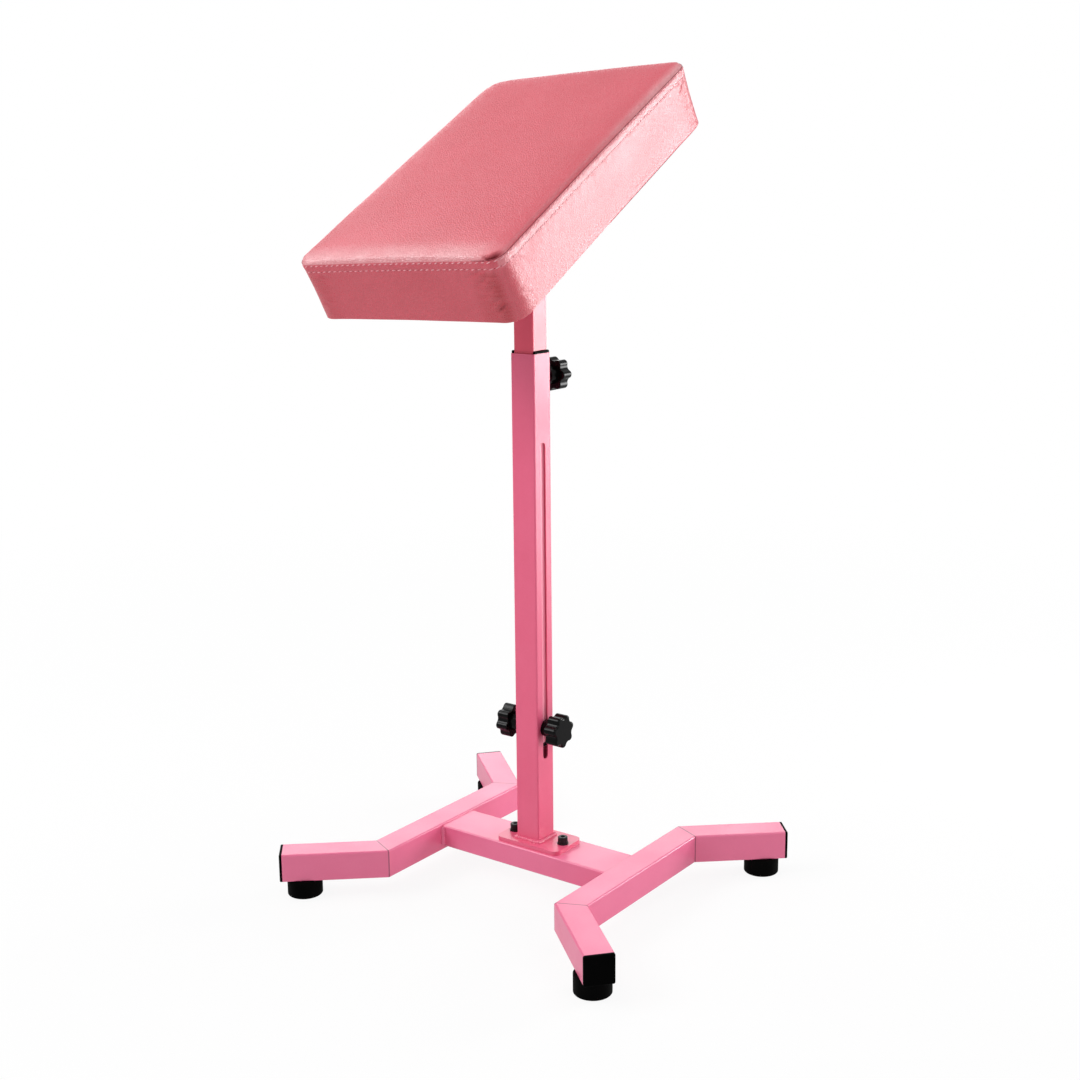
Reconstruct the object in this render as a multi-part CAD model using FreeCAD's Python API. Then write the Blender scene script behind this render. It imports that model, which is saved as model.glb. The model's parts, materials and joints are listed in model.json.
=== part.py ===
import FreeCAD, Part
import math
import os

# Tattoo arm rest stand: a welded base of square tube, a slotted column, a sliding mast and a padded rest.
# Millimetres. The origin is on the floor under the column's centre. +Z is up, X runs along the
# crossbar and Y along the two side tubes. Left is -X, right is +X, front is -Y and rear is +Y.

Vector = FreeCAD.Vector
ORIGIN = Vector(0, 0, 0)
X_AXIS = Vector(1, 0, 0)
Y_AXIS = Vector(0, 1, 0)
Z_AXIS = Vector(0, 0, 1)
HALF_TURN = 180.0

# Clearances and overruns that every piece shares
running_clearance = 0.1
seat_clearance = 0.05
bolt_hole_clearance = 0.3
cut_overrun = 10.0
hex_corner_share = 2.0 / math.sqrt(3.0)
hex_side_count = 6

# Base frame
base_tube_side = 32.0
base_tube_wall = 1.5
base_tube_corner = 2.0
side_tube_spacing = 257.0
mitre_spacing = 228.0
leg_splay_deg = 49.0
leg_length = 110.5
crossbar_width = 56.0
crossbar_height = 25.0
crossbar_drop = 2.0
frame_weld_leg = 4.5
frame_weld_hollow = 1.0

# Feet and leg caps
foot_diameter = 39.0
foot_height = 20.0
foot_from_leg_end = 23.5
foot_bottom_round = 1.6
foot_recess_diameter = 15.0
foot_recess_depth = 12.0
foot_screw_thread = 6.0
foot_screw_length = 18.0
foot_screw_head_diameter = 11.5
foot_screw_head_height = 4.0
foot_washer_diameter = 13.5
foot_washer_thickness = 1.5
foot_nut_flats = 10.0
foot_nut_height = 5.0
cap_flange = 3.0
cap_edge_round = 1.2
cap_plug_depth = 12.0
cap_plug_wall = 2.0

# Column
plate_length = 84.0
plate_width = 50.0
plate_thickness = 5.0
plate_corner = 8.0
plate_shift = 4.5
plate_bolt_spacing = 66.0
outer_tube_side = 30.0
outer_tube_wall = 1.5
outer_tube_corner = 2.0
outer_tube_length = 542.5
slot_width = 9.0
slot_above_plate = 95.0
slot_below_top = 94.5
column_weld_leg = 3.5
rear_knob_below_top = 26.5
rear_nut_height = 8.0
rear_stand_off = 3.0

# Column bolts
base_bolt_thread = 6.0
base_bolt_length = 18.0
base_bolt_head_diameter = 11.0
base_bolt_head_height = 7.0
base_bolt_head_round = 1.0
base_bolt_socket_flats = 5.0
base_bolt_socket_depth = 4.0
base_washer_diameter = 12.6
base_washer_thickness = 1.4
base_nut_flats = 10.0
base_nut_height = 5.0

# Guide shims between the two tubes
shim_gap = 0.25
shim_width = 20.0
shim_depth = 40.0
shim_lip_length = 25.0
shim_lip_height = 3.0
shim_lip_overhang = 0.2
shim_lip_round = 1.2

# Sliding mast
inner_tube_side = 25.0
inner_tube_wall = 1.5
inner_tube_corner = 1.5
lower_knob_above_slot_end = 36.0
mast_below_lower_knob = 18.0
mast_above_pivot = 17.0
glide_clearance = 0.3
bottom_plug_flange = 4.0
bottom_plug_depth = 9.0
top_cap_flange = 2.0
top_cap_depth = 7.0
top_cap_round = 1.0
plug_wall = 2.0

# Clamp knobs and the M8 hardware that goes with them
knob_diameter = 37.0
knob_lobes = 7
lobe_tip_radius = 4.6
lobe_hollow_radius = 5.5
knob_head_thickness = 15.0
knob_front_round = 2.0
knob_back_round = 0.8
hub_diameter = 19.0
hub_front_diameter = 22.0
hub_height = 9.0
clamp_thread = 8.0
clamp_nut_flats = 13.0
lower_nut_height = 6.5
stud_tip_chamfer = 0.8
stud_tip_gap = 0.2
stud_embedded = 14.0
knob_washer_diameter = 18.0
knob_washer_thickness = 1.6
lower_stud_end = 5.0

# Pivot and tilt bracket
pivot_above_column = 109.8
rest_tilt_deg = 30.0
pivot_bushing_diameter = 12.0
friction_washer_diameter = 22.0
friction_washer_thickness = 0.8
ear_thickness = 3.0
ear_end_radius = 15.0
ear_top_width = 58.0
pivot_bolt_head_flats = 13.0
pivot_bolt_head_height = 5.3
pivot_bolt_end_gap = 2.0
insert_diameter = 12.0
insert_length = 14.0
bracket_length = 104.0
bracket_width = 76.0
bracket_thickness = 3.0
bracket_corner = 6.0
bracket_hole_spacing_x = 80.0
bracket_hole_spacing_y = 52.0

# Padded rest
pivot_to_pad = 34.0
pad_width = 254.0
pad_length = 371.0
pad_thickness = 65.0
pad_crown = 6.0
pad_waist = 1.6
pad_side_bow = 1.6
pad_corner = 20.0
pad_edge_round = 2.4
seam_corner = 15.0
crown_width = 72.0
crown_steps = 6
side_rise_shares = (0.0, 0.35, 0.68, 1.0)
side_waist_shares = (0.0, 0.8, 1.0, 0.5)
board_margin = 6.0
board_corner = 14.0
board_thickness = 12.0
leather_thickness = 1.2
foam_clearance = 0.3
lining_margin = 11.0
lining_thickness = 0.8
lining_clearance = 0.3
board_screw_thread = 6.0
board_screw_length = 14.5
board_screw_head_diameter = 11.5
board_screw_head_height = 3.4
tee_nut_barrel = 8.0
tee_nut_flange = 19.0
tee_nut_flange_thickness = 1.5

# Places that follow from the sizes above
base_tube_top = foot_height + base_tube_side
crossbar_top = base_tube_top - crossbar_drop
plate_top = crossbar_top + plate_thickness
column_top = plate_top + outer_tube_length
rear_knob_height = column_top - rear_knob_below_top
slot_low = plate_top + slot_above_plate
slot_length = outer_tube_length - slot_above_plate - slot_below_top
lower_knob_height = slot_low + lower_knob_above_slot_end
pivot_height = column_top + pivot_above_column
mast_bottom = lower_knob_height - mast_below_lower_knob
mast_top = pivot_height + mast_above_pivot
side_tube_x = side_tube_spacing / 2
mitre_y = mitre_spacing / 2
outer_inside = outer_tube_side - 2 * outer_tube_wall
inner_inside = inner_tube_side - 2 * inner_tube_wall
ear_inner_face = inner_tube_side / 2 + friction_washer_thickness
ear_outer_face = ear_inner_face + ear_thickness
lining_low = pivot_to_pad - lining_thickness
bracket_low = lining_low - bracket_thickness
board_top = pivot_to_pad + board_thickness
edge_top = lining_low + pad_edge_round


def rounded_outline(size_x, size_y, radius):
    """Face of a rounded rectangle centred on the origin in the XY plane."""
    half_x = size_x / 2
    half_y = size_y / 2
    inner_x = half_x - radius
    inner_y = half_y - radius
    diagonal = radius * math.sqrt(0.5)
    edges = []
    quarter_signs = [(1, 1), (-1, 1), (-1, -1), (1, -1)]
    corner_points = []
    for sign_x, sign_y in quarter_signs:
        side_point = Vector(sign_x * half_x, sign_y * inner_y, 0)
        end_point = Vector(sign_x * inner_x, sign_y * half_y, 0)
        middle = Vector(sign_x * (inner_x + diagonal), sign_y * (inner_y + diagonal), 0)
        if sign_x * sign_y > 0:
            corner_points.append((side_point, middle, end_point))
        else:
            corner_points.append((end_point, middle, side_point))
    for index, (start, middle, end) in enumerate(corner_points):
        edges.append(Part.Arc(start, middle, end).toShape())
        next_start = corner_points[(index + 1) % len(corner_points)][0]
        edges.append(Part.LineSegment(end, next_start).toShape())
    return Part.Face(Part.Wire(edges))


def bar(size_x, size_y, radius, length, low=0.0):
    """Solid bar with a rounded rectangular section, standing on the height low."""
    solid = rounded_outline(size_x, size_y, radius).extrude(Vector(0, 0, length))
    solid.translate(Vector(0, 0, low))
    return solid


def tube(size_x, size_y, wall, radius, length, low=0.0):
    """Upright rectangular tube, open at both ends."""
    outside = bar(size_x, size_y, radius, length, low)
    bore_radius = radius - wall if radius > wall else wall / 4
    bore_low = low - cut_overrun
    bore_length = length + 2 * cut_overrun
    bore = bar(size_x - 2 * wall, size_y - 2 * wall, bore_radius, bore_length, bore_low)
    return outside.cut(bore)


def placed(shape, position, rotation):
    """Turn a shape about the origin, then move it to its position."""
    shape.Placement = FreeCAD.Placement(position, rotation).multiply(shape.Placement)
    return shape


def rod(diameter, start, direction, length):
    """Round rod from start, along direction."""
    return Part.makeCylinder(diameter / 2, length, start, direction)


def ring(outer_diameter, inner_diameter, start, direction, length):
    """Washer or bush: a rod with a bore right through it."""
    bore_start = start - direction * cut_overrun
    bore = rod(inner_diameter, bore_start, direction, length + 2 * cut_overrun)
    return rod(outer_diameter, start, direction, length).cut(bore)


def hexagon(flats, start, direction, length):
    """Six-sided prism with the given size across its flats."""
    radius = flats * hex_corner_share / 2
    prism = Part.Face(Part.makePolygon(hexagon_points(radius))).extrude(Vector(0, 0, length))
    return placed(prism, start, FreeCAD.Rotation(Z_AXIS, direction))


def hexagon_points(radius):
    points = []
    for corner in range(hex_side_count + 1):
        angle = 2 * math.pi * corner / hex_side_count
        points.append(Vector(radius * math.cos(angle), radius * math.sin(angle), 0))
    return points


def hex_nut(flats, thread, start, direction, height):
    """Hexagon nut with its corners turned off at both ends."""
    blank = hexagon(flats, start, direction, height)
    bore = rod(thread, start - direction * cut_overrun, direction, height + 2 * cut_overrun)
    corner = flats * hex_corner_share / 2
    chamfer = corner - flats / 2
    cone = Part.makeCone(flats / 2, corner, chamfer, start, direction)
    middle = rod(2 * corner, start + direction * chamfer, direction, height - 2 * chamfer)
    far_cone = Part.makeCone(corner, flats / 2, chamfer, start + direction * (height - chamfer), direction)
    turned = cone.fuse([middle, far_cone])
    return blank.common(turned).cut(bore)


def group(solids):
    """Several separate solids kept together as one sub-part."""
    return Part.makeCompound(solids)


def fillet_where(shape, radius, chosen):
    """Round the edges that the test picks out by their middle point."""
    edges = []
    for edge in shape.Edges:
        middle = edge.valueAt((edge.FirstParameter + edge.LastParameter) / 2)
        if chosen(middle):
            edges.append(edge)
    return shape.makeFillet(radius, edges)


def near(value, target):
    return abs(value - target) < seat_clearance


# Base frame


def mitre_block(corner, normal):
    """Block whose flat side stands at the corner, square to normal, to cut a tube end."""
    size = 4 * base_tube_side
    block = Part.makeBox(size, size, size, Vector(-size / 2, -size / 2, 0))
    return placed(block, corner, FreeCAD.Rotation(Z_AXIS, normal))


def laid_tube(size_across, size_up, wall, radius, start, heading, length):
    """Level tube that runs from start along heading, with its centreline at the height of start."""
    solid = tube(size_across, size_up, wall, radius, length)
    across = Z_AXIS.cross(heading)
    return placed(solid, start, FreeCAD.Rotation(across, Z_AXIS, heading, "ZYX"))


def leg_heading(side, end):
    """Direction of a leg, away from its side tube. side is -1 left or 1 right, end -1 front or 1 rear."""
    splay = math.radians(leg_splay_deg)
    return Vector(side * math.sin(splay), end * math.cos(splay), 0)


def mitre_corner(side, end):
    return Vector(side * side_tube_x, end * mitre_y, foot_height + base_tube_side / 2)


def mitre_normal(side, end):
    direction = leg_heading(side, end) + Y_AXIS * end
    direction.normalize()
    return direction


def make_crossbar():
    """Flat tube between the side tubes, drilled in its top wall for the column bolts."""
    length = side_tube_spacing - base_tube_side
    start = Vector(-length / 2, 0, crossbar_top - crossbar_height / 2)
    width = crossbar_width
    solid = laid_tube(width, crossbar_height, base_tube_wall, base_tube_corner, start, X_AXIS, length)
    diameter = base_bolt_thread + 2 * bolt_hole_clearance
    for place in base_bolt_places():
        hole_low = place - Z_AXIS * (plate_thickness + 2 * base_tube_wall)
        solid = solid.cut(rod(diameter, hole_low, Z_AXIS, crossbar_height))
    return solid


def make_side_tube(side):
    """Square tube along Y, mitred at both ends for the legs."""
    half = mitre_y + base_tube_side
    start = Vector(side * side_tube_x, -half, foot_height + base_tube_side / 2)
    size = base_tube_side
    solid = laid_tube(size, size, base_tube_wall, base_tube_corner, start, Y_AXIS, 2 * half)
    for end in (-1, 1):
        solid = solid.cut(mitre_block(mitre_corner(side, end), mitre_normal(side, end)))
    return solid


def make_frame_weld(side, end):
    """Upright fillet weld in the corner between the crossbar and a side tube, slightly hollow."""
    corner = Vector(side * (side_tube_spacing - base_tube_side) / 2, end * crossbar_width / 2, 0)
    corner += Vector(0, 0, crossbar_top - crossbar_height + base_tube_corner)
    on_crossbar = corner - X_AXIS * side * frame_weld_leg
    on_side_tube = corner + Y_AXIS * end * frame_weld_leg
    middle = (on_crossbar + on_side_tube) * 0.5
    inward = corner - middle
    inward.normalize()
    edges = [
        Part.LineSegment(corner, on_crossbar).toShape(),
        Part.Arc(on_crossbar, middle + inward * frame_weld_hollow, on_side_tube).toShape(),
        Part.LineSegment(on_side_tube, corner).toShape(),
    ]
    height = crossbar_height - 2 * base_tube_corner
    return Part.Face(Part.Wire(edges)).extrude(Z_AXIS * height)


def leg_end(side, end):
    return mitre_corner(side, end) + leg_heading(side, end) * leg_length


def foot_place(side, end):
    """Centre of a foot on the floor."""
    place = leg_end(side, end) - leg_heading(side, end) * foot_from_leg_end
    return Vector(place.x, place.y, 0)


def make_leg(side, end):
    """Splayed leg, mitred to its side tube and open at the far end."""
    heading = leg_heading(side, end)
    start = mitre_corner(side, end) - heading * base_tube_side
    size = base_tube_side
    length = leg_length + size
    solid = laid_tube(size, size, base_tube_wall, base_tube_corner, start, heading, length)
    solid = solid.cut(mitre_block(mitre_corner(side, end), mitre_normal(side, end) * -1))
    diameter = foot_screw_thread + 2 * bolt_hole_clearance
    return solid.cut(rod(diameter, foot_place(side, end), Z_AXIS, foot_height + size / 2))


def make_leg_cap(side, end):
    """Plastic insert: a flange over the tube's end and a hollow plug inside it."""
    flange = bar(base_tube_side, base_tube_side, base_tube_corner, cap_flange)
    flange = fillet_where(flange, cap_edge_round, lambda point: near(point.z, cap_flange))
    plug_side = base_tube_side - 2 * base_tube_wall - 2 * seat_clearance
    plug_corner = base_tube_wall / 2
    plug = tube(plug_side, plug_side, cap_plug_wall, plug_corner, cap_plug_depth, -cap_plug_depth)
    cap = flange.fuse(plug)
    heading = leg_heading(side, end)
    rotation = FreeCAD.Rotation(Z_AXIS.cross(heading), Z_AXIS, heading, "ZYX")
    return placed(cap, leg_end(side, end), rotation)


def make_foot(side, end):
    """Rubber foot with a deep recess under it for its screw."""
    place = foot_place(side, end)
    foot = rod(foot_diameter, ORIGIN, Z_AXIS, foot_height)
    foot = fillet_where(foot, foot_bottom_round, lambda point: near(point.z, 0))
    recess = rod(foot_recess_diameter, Z_AXIS * -cut_overrun, Z_AXIS, foot_recess_depth + cut_overrun)
    hole = rod(foot_screw_thread + 2 * bolt_hole_clearance, ORIGIN, Z_AXIS, foot_height + cut_overrun)
    foot = foot.cut(recess.fuse(hole))
    foot.translate(place)
    return foot


def each_leg(build):
    return [build(side, end) for side in (-1, 1) for end in (-1, 1)]


def foot_washer(side, end):
    start = foot_place(side, end) + Z_AXIS * (foot_recess_depth - foot_washer_thickness)
    bore = foot_screw_thread + 2 * seat_clearance
    return ring(foot_washer_diameter, bore, start, Z_AXIS, foot_washer_thickness)


def foot_screw(side, end):
    """Pan-headed screw up through the foot into the nut inside the leg."""
    head_top = foot_recess_depth - foot_washer_thickness
    head_low = foot_place(side, end) + Z_AXIS * (head_top - foot_screw_head_height)
    head = rod(foot_screw_head_diameter, head_low, Z_AXIS, foot_screw_head_height)
    shank_length = foot_screw_head_height + foot_screw_length
    return head.fuse(rod(foot_screw_thread, head_low, Z_AXIS, shank_length))


def foot_nut(side, end):
    start = foot_place(side, end) + Z_AXIS * (foot_height + base_tube_wall)
    return hex_nut(foot_nut_flats, foot_screw_thread + 2 * seat_clearance, start, Z_AXIS, foot_nut_height)


# Column


def base_bolt_places():
    """Points on the plate's top where the two column bolts go in."""
    half = plate_bolt_spacing / 2
    return [Vector(plate_shift + sign * half, 0, plate_top) for sign in (-1, 1)]


def make_column_plate():
    """Plate with rounded corners under the column."""
    plate = bar(plate_length, plate_width, plate_corner, plate_thickness, crossbar_top)
    plate.translate(Vector(plate_shift, 0, 0))
    diameter = base_bolt_thread + 2 * bolt_hole_clearance
    for place in base_bolt_places():
        start = place - Z_AXIS * (plate_thickness + cut_overrun)
        plate = plate.cut(rod(diameter, start, Z_AXIS, plate_thickness + 2 * cut_overrun))
    return plate


def make_base_bolt(place):
    """Socket-headed bolt on its washer."""
    head_low = place + Z_AXIS * base_washer_thickness
    head_top = base_bolt_head_height
    head = rod(base_bolt_head_diameter, ORIGIN, Z_AXIS, base_bolt_head_height)
    head = fillet_where(head, base_bolt_head_round, lambda point: near(point.z, head_top))
    socket_low = Z_AXIS * (head_top - base_bolt_socket_depth)
    socket = hexagon(base_bolt_socket_flats, socket_low, Z_AXIS, base_bolt_socket_depth + cut_overrun)
    head = head.cut(socket)
    shank = rod(base_bolt_thread, Z_AXIS * -base_bolt_length, Z_AXIS, base_bolt_length)
    bolt = head.fuse(shank)
    bolt.translate(head_low)
    return bolt


def make_base_washer(place):
    bore = base_bolt_thread + 2 * seat_clearance
    return ring(base_washer_diameter, bore, place, Z_AXIS, base_washer_thickness)


def make_base_nut(place):
    """Nut welded under the crossbar's top wall."""
    low = crossbar_top - base_tube_wall - base_nut_height
    start = Vector(place.x, place.y, low)
    return hex_nut(base_nut_flats, base_bolt_thread + 2 * seat_clearance, start, Z_AXIS, base_nut_height)


def slot_cutter():
    """Long rounded bar across the column that cuts both slots."""
    depth = outer_tube_side + 2 * cut_overrun
    cutter = bar(slot_width, slot_length, slot_width / 2 - seat_clearance / 2, depth, -depth / 2)
    middle = Vector(0, 0, slot_low + slot_length / 2)
    return placed(cutter, middle, FreeCAD.Rotation(Y_AXIS, Z_AXIS, X_AXIS, "ZYX"))


def make_outer_tube():
    """Column tube with a slot in its left and right walls and a clamp hole in its rear wall."""
    side = outer_tube_side
    column = tube(side, side, outer_tube_wall, outer_tube_corner, outer_tube_length, plate_top)
    column = column.cut(slot_cutter())
    hole_diameter = clamp_thread + 2 * bolt_hole_clearance
    hole = rod(hole_diameter, Vector(0, 0, rear_knob_height), Y_AXIS, outer_tube_side)
    return column.cut(hole)


def make_column_weld():
    """Fillet weld round the foot of the column."""
    side = outer_tube_side
    low_side = side + 2 * column_weld_leg
    low_face = rounded_outline(low_side, low_side, outer_tube_corner + column_weld_leg)
    top_face = rounded_outline(side, side, outer_tube_corner)
    top_face.translate(Vector(0, 0, column_weld_leg))
    bead = Part.makeLoft([low_face.OuterWire, top_face.OuterWire], True, True)
    bead.translate(Vector(0, 0, plate_top))
    core_length = column_weld_leg + 2 * cut_overrun
    core = bar(side, side, outer_tube_corner, core_length, plate_top - cut_overrun)
    return bead.cut(core)


def make_guide_shim(side):
    """Plastic liner on the column's inner wall, with a lip on the column's top edge."""
    gap = outer_inside / 2 - inner_tube_side / 2
    thickness = gap - shim_gap
    inner_face = outer_inside / 2 - thickness
    strip = Part.makeBox(thickness, shim_width, shim_depth + shim_lip_height)
    strip.translate(Vector(inner_face, -shim_width / 2, column_top - shim_depth))
    lip_depth = outer_tube_side / 2 + shim_lip_overhang - inner_face
    lip = Part.makeBox(lip_depth, shim_lip_length, shim_lip_height)
    lip.translate(Vector(inner_face, -shim_lip_length / 2, column_top))
    lip = fillet_where(lip, shim_lip_round, lambda point: near(point.z, column_top + shim_lip_height)
                       and not near(point.x, inner_face))
    shim = strip.fuse(lip).removeSplitter()
    if side < 0:
        shim.rotate(ORIGIN, Z_AXIS, HALF_TURN)
    return shim


def make_rear_nut():
    """Nut welded on the column's rear wall."""
    start = Vector(0, outer_tube_side / 2, rear_knob_height)
    return hex_nut(clamp_nut_flats, clamp_thread + 2 * running_clearance, start, Y_AXIS, rear_nut_height)


# Star knobs


def star_outline():
    """Closed outline of the knob's head: round lobes joined by hollows, all arcs tangent."""
    step = 2 * math.pi / knob_lobes
    tip_centre = knob_diameter / 2 - lobe_tip_radius
    half_chord = tip_centre * math.sin(step / 2)
    reach = lobe_tip_radius + lobe_hollow_radius
    hollow_centre = tip_centre * math.cos(step / 2) + math.sqrt(reach**2 - half_chord**2)
    hollow_middle = hollow_centre - lobe_hollow_radius
    edges = []
    for lobe in range(knob_lobes):
        tip_angle = lobe * step
        before = join_point(tip_centre, tip_angle, hollow_centre, tip_angle - step / 2)
        after = join_point(tip_centre, tip_angle, hollow_centre, tip_angle + step / 2)
        next_start = join_point(tip_centre, tip_angle + step, hollow_centre, tip_angle + step / 2)
        tip = polar(knob_diameter / 2, tip_angle)
        hollow = polar(hollow_middle, tip_angle + step / 2)
        edges.append(Part.Arc(before, tip, after).toShape())
        edges.append(Part.Arc(after, hollow, next_start).toShape())
    return Part.Face(Part.Wire(edges))


def polar(radius, angle):
    return Vector(radius * math.cos(angle), radius * math.sin(angle), 0)


def join_point(tip_centre, tip_angle, hollow_centre, hollow_angle):
    """Point where a lobe's arc meets a hollow's arc."""
    tip = polar(tip_centre, tip_angle)
    hollow = polar(hollow_centre, hollow_angle)
    share = lobe_tip_radius / (lobe_tip_radius + lobe_hollow_radius)
    return tip + (hollow - tip) * share


def knob_body(bore_diameter, bore_depth):
    """Moulded knob on the Z axis: its hub stands on the origin and its face looks along +Z."""
    head = star_outline().extrude(Vector(0, 0, knob_head_thickness))
    front = knob_head_thickness
    head = fillet_where(head, knob_front_round, lambda point: near(point.z, front))
    head = fillet_where(head, knob_back_round, lambda point: near(point.z, 0))
    head.translate(Vector(0, 0, hub_height))
    hub = Part.makeCone(hub_diameter / 2, hub_front_diameter / 2, hub_height)
    bore = rod(bore_diameter, Z_AXIS * -cut_overrun, Z_AXIS, bore_depth + cut_overrun)
    return head.fuse(hub).cut(bore)


def stud_body(reach_out):
    """Threaded stud moulded into a knob, with its free end reach_out below the hub."""
    length = reach_out + stud_embedded
    stud = rod(clamp_thread, Z_AXIS * -reach_out, Z_AXIS, length)
    edges = [edge for edge in stud.Edges if near(edge.BoundBox.ZMax, -reach_out)]
    return stud.makeChamfer(stud_tip_chamfer, edges)


def point_along(shape, hub_place, outward):
    """Turn a knob piece so that its face looks outward, and set its hub at hub_place."""
    return placed(shape.copy(), hub_place, FreeCAD.Rotation(Z_AXIS, outward))


def clamp_knob():
    return knob_body(clamp_thread + seat_clearance, stud_embedded)


def rear_hub_place():
    return Vector(0, outer_tube_side / 2 + rear_nut_height + rear_stand_off, rear_knob_height)


def lower_hub_place(side):
    reach = outer_tube_side / 2 + knob_washer_thickness
    return Vector(side * reach, 0, lower_knob_height)


def make_rear_stud():
    reach_out = rear_hub_place().y - inner_tube_side / 2 - stud_tip_gap
    return point_along(stud_body(reach_out), rear_hub_place(), Y_AXIS)


def make_lower_stud(side):
    reach_out = abs(lower_hub_place(side).x) - lower_stud_end
    return point_along(stud_body(reach_out), lower_hub_place(side), X_AXIS * side)


# Sliding mast


def make_inner_tube():
    """Tube that slides in the column, drilled for the lower knobs and the pivot bushing."""
    side = inner_tube_side
    mast = tube(side, side, inner_tube_wall, inner_tube_corner, mast_top - mast_bottom, mast_bottom)
    start_x = -inner_tube_side / 2 - cut_overrun
    length = inner_tube_side + 2 * cut_overrun
    knob_hole = clamp_thread + 2 * bolt_hole_clearance
    mast = mast.cut(rod(knob_hole, Vector(start_x, 0, lower_knob_height), X_AXIS, length))
    pivot_hole = pivot_bushing_diameter + 2 * seat_clearance
    return mast.cut(rod(pivot_hole, Vector(start_x, 0, pivot_height), X_AXIS, length))


def make_bottom_plug():
    """Plastic glide in the mast's lower end, wide enough to guide it in the column."""
    flange_side = outer_inside - 2 * glide_clearance
    flange_low = mast_bottom - bottom_plug_flange
    flange = bar(flange_side, flange_side, inner_tube_corner, bottom_plug_flange, flange_low)
    plug_side = inner_inside - 2 * seat_clearance
    plug = tube(plug_side, plug_side, plug_wall, inner_tube_wall / 2, bottom_plug_depth, mast_bottom)
    return flange.fuse(plug)


def make_top_cap():
    """Plastic cap on the mast's upper end."""
    flange = bar(inner_tube_side, inner_tube_side, inner_tube_corner, top_cap_flange, mast_top)
    flange_top = mast_top + top_cap_flange
    flange = fillet_where(flange, top_cap_round, lambda point: near(point.z, flange_top))
    plug_side = inner_inside - 2 * seat_clearance
    plug_low = mast_top - top_cap_depth
    plug = tube(plug_side, plug_side, plug_wall, inner_tube_wall / 2, top_cap_depth, plug_low)
    return flange.fuse(plug)


def lower_nut(side):
    """Nut welded inside the mast behind a lower knob's hole."""
    start = Vector(side * inner_inside / 2, 0, lower_knob_height)
    bore = clamp_thread + 2 * running_clearance
    return hex_nut(clamp_nut_flats, bore, start, X_AXIS * -side, lower_nut_height)


def lower_washer(side):
    start = Vector(side * outer_tube_side / 2, 0, lower_knob_height)
    bore = clamp_thread + 2 * bolt_hole_clearance
    return ring(knob_washer_diameter, bore, start, X_AXIS * side, knob_washer_thickness)


def make_pivot_bushing():
    start = Vector(-inner_tube_side / 2, 0, pivot_height)
    bore = clamp_thread + 2 * running_clearance
    return ring(pivot_bushing_diameter, bore, start, X_AXIS, inner_tube_side)


# Tilt bracket and pad, built level over the pivot and then tilted to the rest angle


def tilted(shape):
    """Lift a level piece from the pivot's own frame to its place, tilted as the rest stands."""
    return placed(shape.copy(), Vector(0, 0, pivot_height), FreeCAD.Rotation(X_AXIS, rest_tilt_deg))


def bracket_hole_places(height):
    half_x = bracket_hole_spacing_x / 2
    half_y = bracket_hole_spacing_y / 2
    return [Vector(sx * half_x, sy * half_y, height) for sx in (-1, 1) for sy in (-1, 1)]


def cut_screw_holes(shape, diameter, low, high):
    """Four round holes on the bracket's screw pattern, from low to high."""
    for place in bracket_hole_places(low):
        shape = shape.cut(rod(diameter, place, Z_AXIS, high - low))
    return shape


def make_bracket_plate():
    plate = bar(bracket_length, bracket_width, bracket_corner, bracket_thickness, bracket_low)
    diameter = board_screw_thread + 2 * bolt_hole_clearance
    plate = cut_screw_holes(plate, diameter, bracket_low - cut_overrun, lining_low + cut_overrun)
    return tilted(plate)


def make_bracket_ear(side):
    """Lug that hangs from the bracket plate: straight flanks drawn in to a round end at the pivot."""
    half_top = ear_top_width / 2
    distance = math.hypot(half_top, bracket_low)
    spread = math.atan2(half_top, bracket_low) + math.asin(ear_end_radius / distance) - math.pi / 2
    tangent_y = ear_end_radius * math.cos(spread)
    tangent_z = -ear_end_radius * math.sin(spread)
    right_top = Vector(0, half_top, bracket_low)
    left_top = Vector(0, -half_top, bracket_low)
    right_tangent = Vector(0, tangent_y, -tangent_z)
    left_tangent = Vector(0, -tangent_y, -tangent_z)
    bottom = Vector(0, 0, -ear_end_radius)
    edges = [
        Part.LineSegment(left_top, right_top).toShape(),
        Part.LineSegment(right_top, right_tangent).toShape(),
        Part.Arc(right_tangent, bottom, left_tangent).toShape(),
        Part.LineSegment(left_tangent, left_top).toShape(),
    ]
    ear = Part.Face(Part.Wire(edges)).extrude(Vector(side * ear_thickness, 0, 0))
    ear.translate(Vector(side * ear_inner_face, 0, 0))
    hole_start = Vector(-2 * ear_outer_face, 0, 0)
    hole = rod(clamp_thread + 2 * seat_clearance, hole_start, X_AXIS, 4 * ear_outer_face)
    return tilted(ear.cut(hole))


def make_friction_washers():
    bore = clamp_thread + 2 * seat_clearance
    washers = []
    for side in (-1, 1):
        start = Vector(side * inner_tube_side / 2, 0, 0)
        washers.append(ring(friction_washer_diameter, bore, start, X_AXIS * side, friction_washer_thickness))
    return tilted(group(washers))


def tilt_hub_place():
    return Vector(-ear_outer_face - knob_washer_thickness, 0, 0)


def make_pivot_bolt():
    """Hexagon bolt from the right ear, through the mast, into the tilt knob on the left."""
    head_place = Vector(ear_outer_face, 0, 0)
    head = hexagon(pivot_bolt_head_flats, head_place, X_AXIS, pivot_bolt_head_height)
    end_x = tilt_hub_place().x - insert_length + pivot_bolt_end_gap
    length = ear_outer_face - end_x + pivot_bolt_head_height / 2
    return tilted(head.fuse(rod(clamp_thread, Vector(end_x, 0, 0), X_AXIS, length)))


def make_tilt_washer():
    bore = clamp_thread + 2 * seat_clearance
    start = Vector(-ear_outer_face, 0, 0)
    return tilted(ring(knob_washer_diameter, bore, start, X_AXIS * -1, knob_washer_thickness))


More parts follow.
